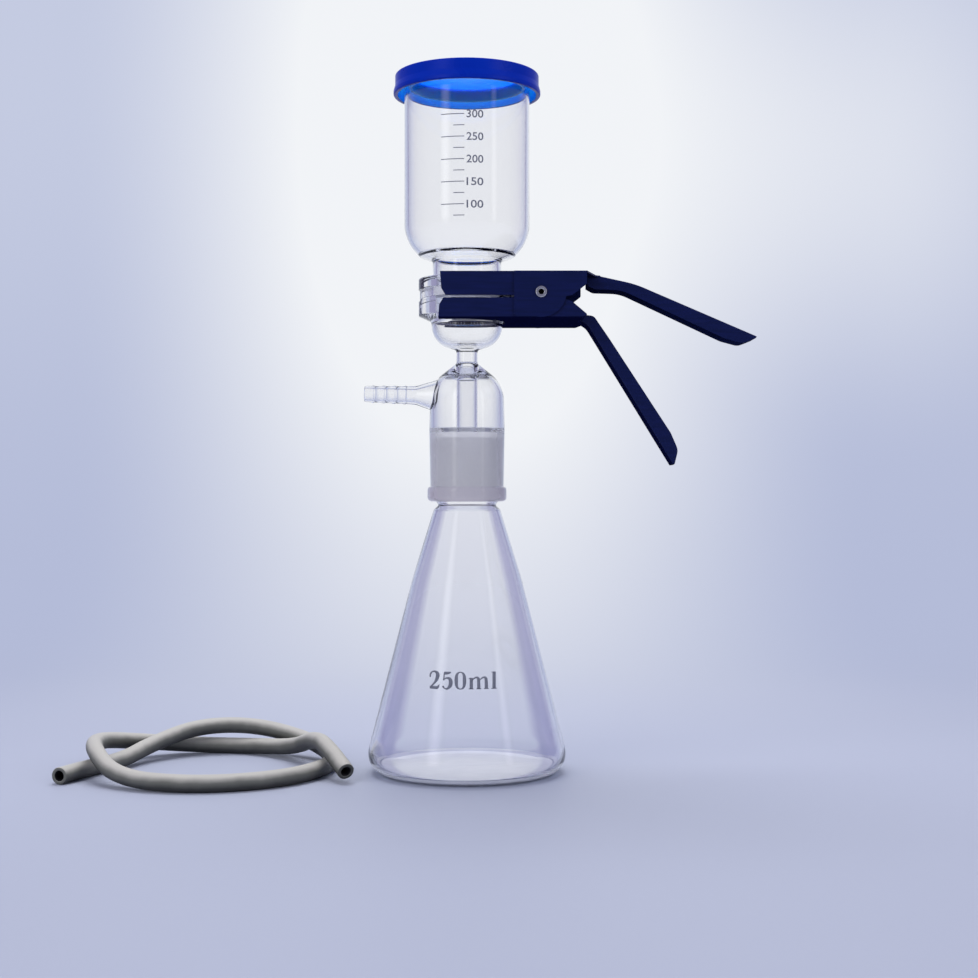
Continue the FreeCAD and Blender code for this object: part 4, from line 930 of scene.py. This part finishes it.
def moved(strokes, across, wide=1.0):
    """Strokes made wider or narrower and moved along the line."""
    return [[(x * wide + across, y, breadth) for x, y, breadth in stroke] for stroke in strokes]


def print_on(name, pieces, glass_piece, body):
    """Join flat pieces, project them onto the glass and give them a print's thickness."""
    bpy.ops.object.select_all(action="DESELECT")
    for piece in pieces:
        piece.select_set(True)
    bpy.context.view_layer.objects.active = pieces[0]
    bpy.ops.object.join()
    mark = bpy.context.object
    mark.name = name
    wrap = mark.modifiers.new("wrap", "SHRINKWRAP")
    wrap.wrap_method = "PROJECT"
    wrap.use_project_y = True
    wrap.use_positive_direction = True
    wrap.use_negative_direction = False
    wrap.wrap_mode = "ABOVE_SURFACE"
    wrap.offset = 0.00004
    wrap.target = glass_piece
    bpy.ops.object.modifier_apply(modifier="wrap")
    thick = mark.modifiers.new("thick", "SOLIDIFY")
    thick.thickness = 0.00003
    thick.offset = 1
    bpy.ops.object.modifier_apply(modifier="thick")
    mark.select_set(False)
    dress(mark, ink)
    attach(mark, body)
    print(name, len(mark.data.polygons), "faces")


# %% Scale on the cup
top_mark = 385.8
mark_step = 13.0
line_thickness = 0.5
marks = []
for count in range(5):
    height = top_mark - mark_step * count
    marks.append(flat_tick(-14.5, -1.1, height, line_thickness))
    marks.append(flat_tick(-7.4, -1.0, height - mark_step / 2, line_thickness))
    marks.append(flat_text(str(300 - 50 * count), 5.1, height, 9.7, 4.6, 0.012))
print_on("cup_scale", marks, cup, "head")

# %% Capacity on the flask
two = [
    [(0.09, 0.70, 0.07), (0.10, 0.88, 0.10), (0.33, 1.04, 0.07), (0.62, 0.92, 0.21), (0.58, 0.62, 0.21),
     (0.42, 0.36, 0.11), (0.20, 0.16, 0.08), (0.09, 0.07, 0.07)],
    [(0.05, 0.71, 0.04), (0.10, 0.71, 0.18), (0.15, 0.71, 0.04)],
    [(0.07, 0.07, 0.16), (0.40, 0.07, 0.18), (0.62, 0.06, 0.18), (0.70, 0.25, 0.04)],
]
five = [
    [(0.16, 0.92, 0.18), (0.50, 0.92, 0.18), (0.58, 1.01, 0.04)],
    [(0.17, 0.97, 0.07), (0.12, 0.50, 0.07)],
    [(0.12, 0.53, 0.05), (0.26, 0.67, 0.08), (0.56, 0.60, 0.20), (0.58, 0.22, 0.23), (0.34, -0.02, 0.10),
     (0.12, 0.06, 0.07), (0.09, 0.12, 0.10)],
    [(0.03, 0.14, 0.04), (0.09, 0.14, 0.16), (0.15, 0.14, 0.04)],
]
zero = [
    [(0.31, 1.02, 0.04), (0.08, 0.90, 0.14), (0.04, 0.50, 0.21), (0.08, 0.10, 0.14), (0.31, -0.02, 0.04),
     (0.54, 0.10, 0.14), (0.58, 0.50, 0.21), (0.54, 0.90, 0.14), (0.31, 1.02, 0.04)],
]
foot = [[(0.0, 0.02, 0.05), (0.25, 0.02, 0.05)]]
flag = [[(0.0, 0.63, 0.03), (0.08, 0.64, 0.07), (0.13, 0.61, 0.11)]]
arch = [[(0.17, 0.50, 0.04), (0.26, 0.66, 0.08), (0.46, 0.70, 0.13), (0.50, 0.50, 0.18), (0.50, 0.0, 0.18)]]
letter_m = [[(0.13, 0.0, 0.18), (0.13, 0.66, 0.18)], *flag, *arch, *moved(arch, 0.37),
            *foot, *moved(foot, 0.375), *moved(foot, 0.745)]
letter_l = [[(0.13, 0.0, 0.18), (0.13, 1.0, 0.18)], *moved(foot, 0.005),
            [(0.0, 0.97, 0.03), (0.08, 0.98, 0.05), (0.13, 0.96, 0.10)]]
print_on("flask_capacity", [pen_text(
    [*moved(two, 0.0, 0.84), *moved(five, 0.73, 0.88), *moved(zero, 1.49, 0.88),
     *moved(letter_m, 2.22, 1.12), *moved(letter_l, 3.46, 1.25)],
    -1.6, 60.2, 38.6, 10.4)], flask, "receiver")
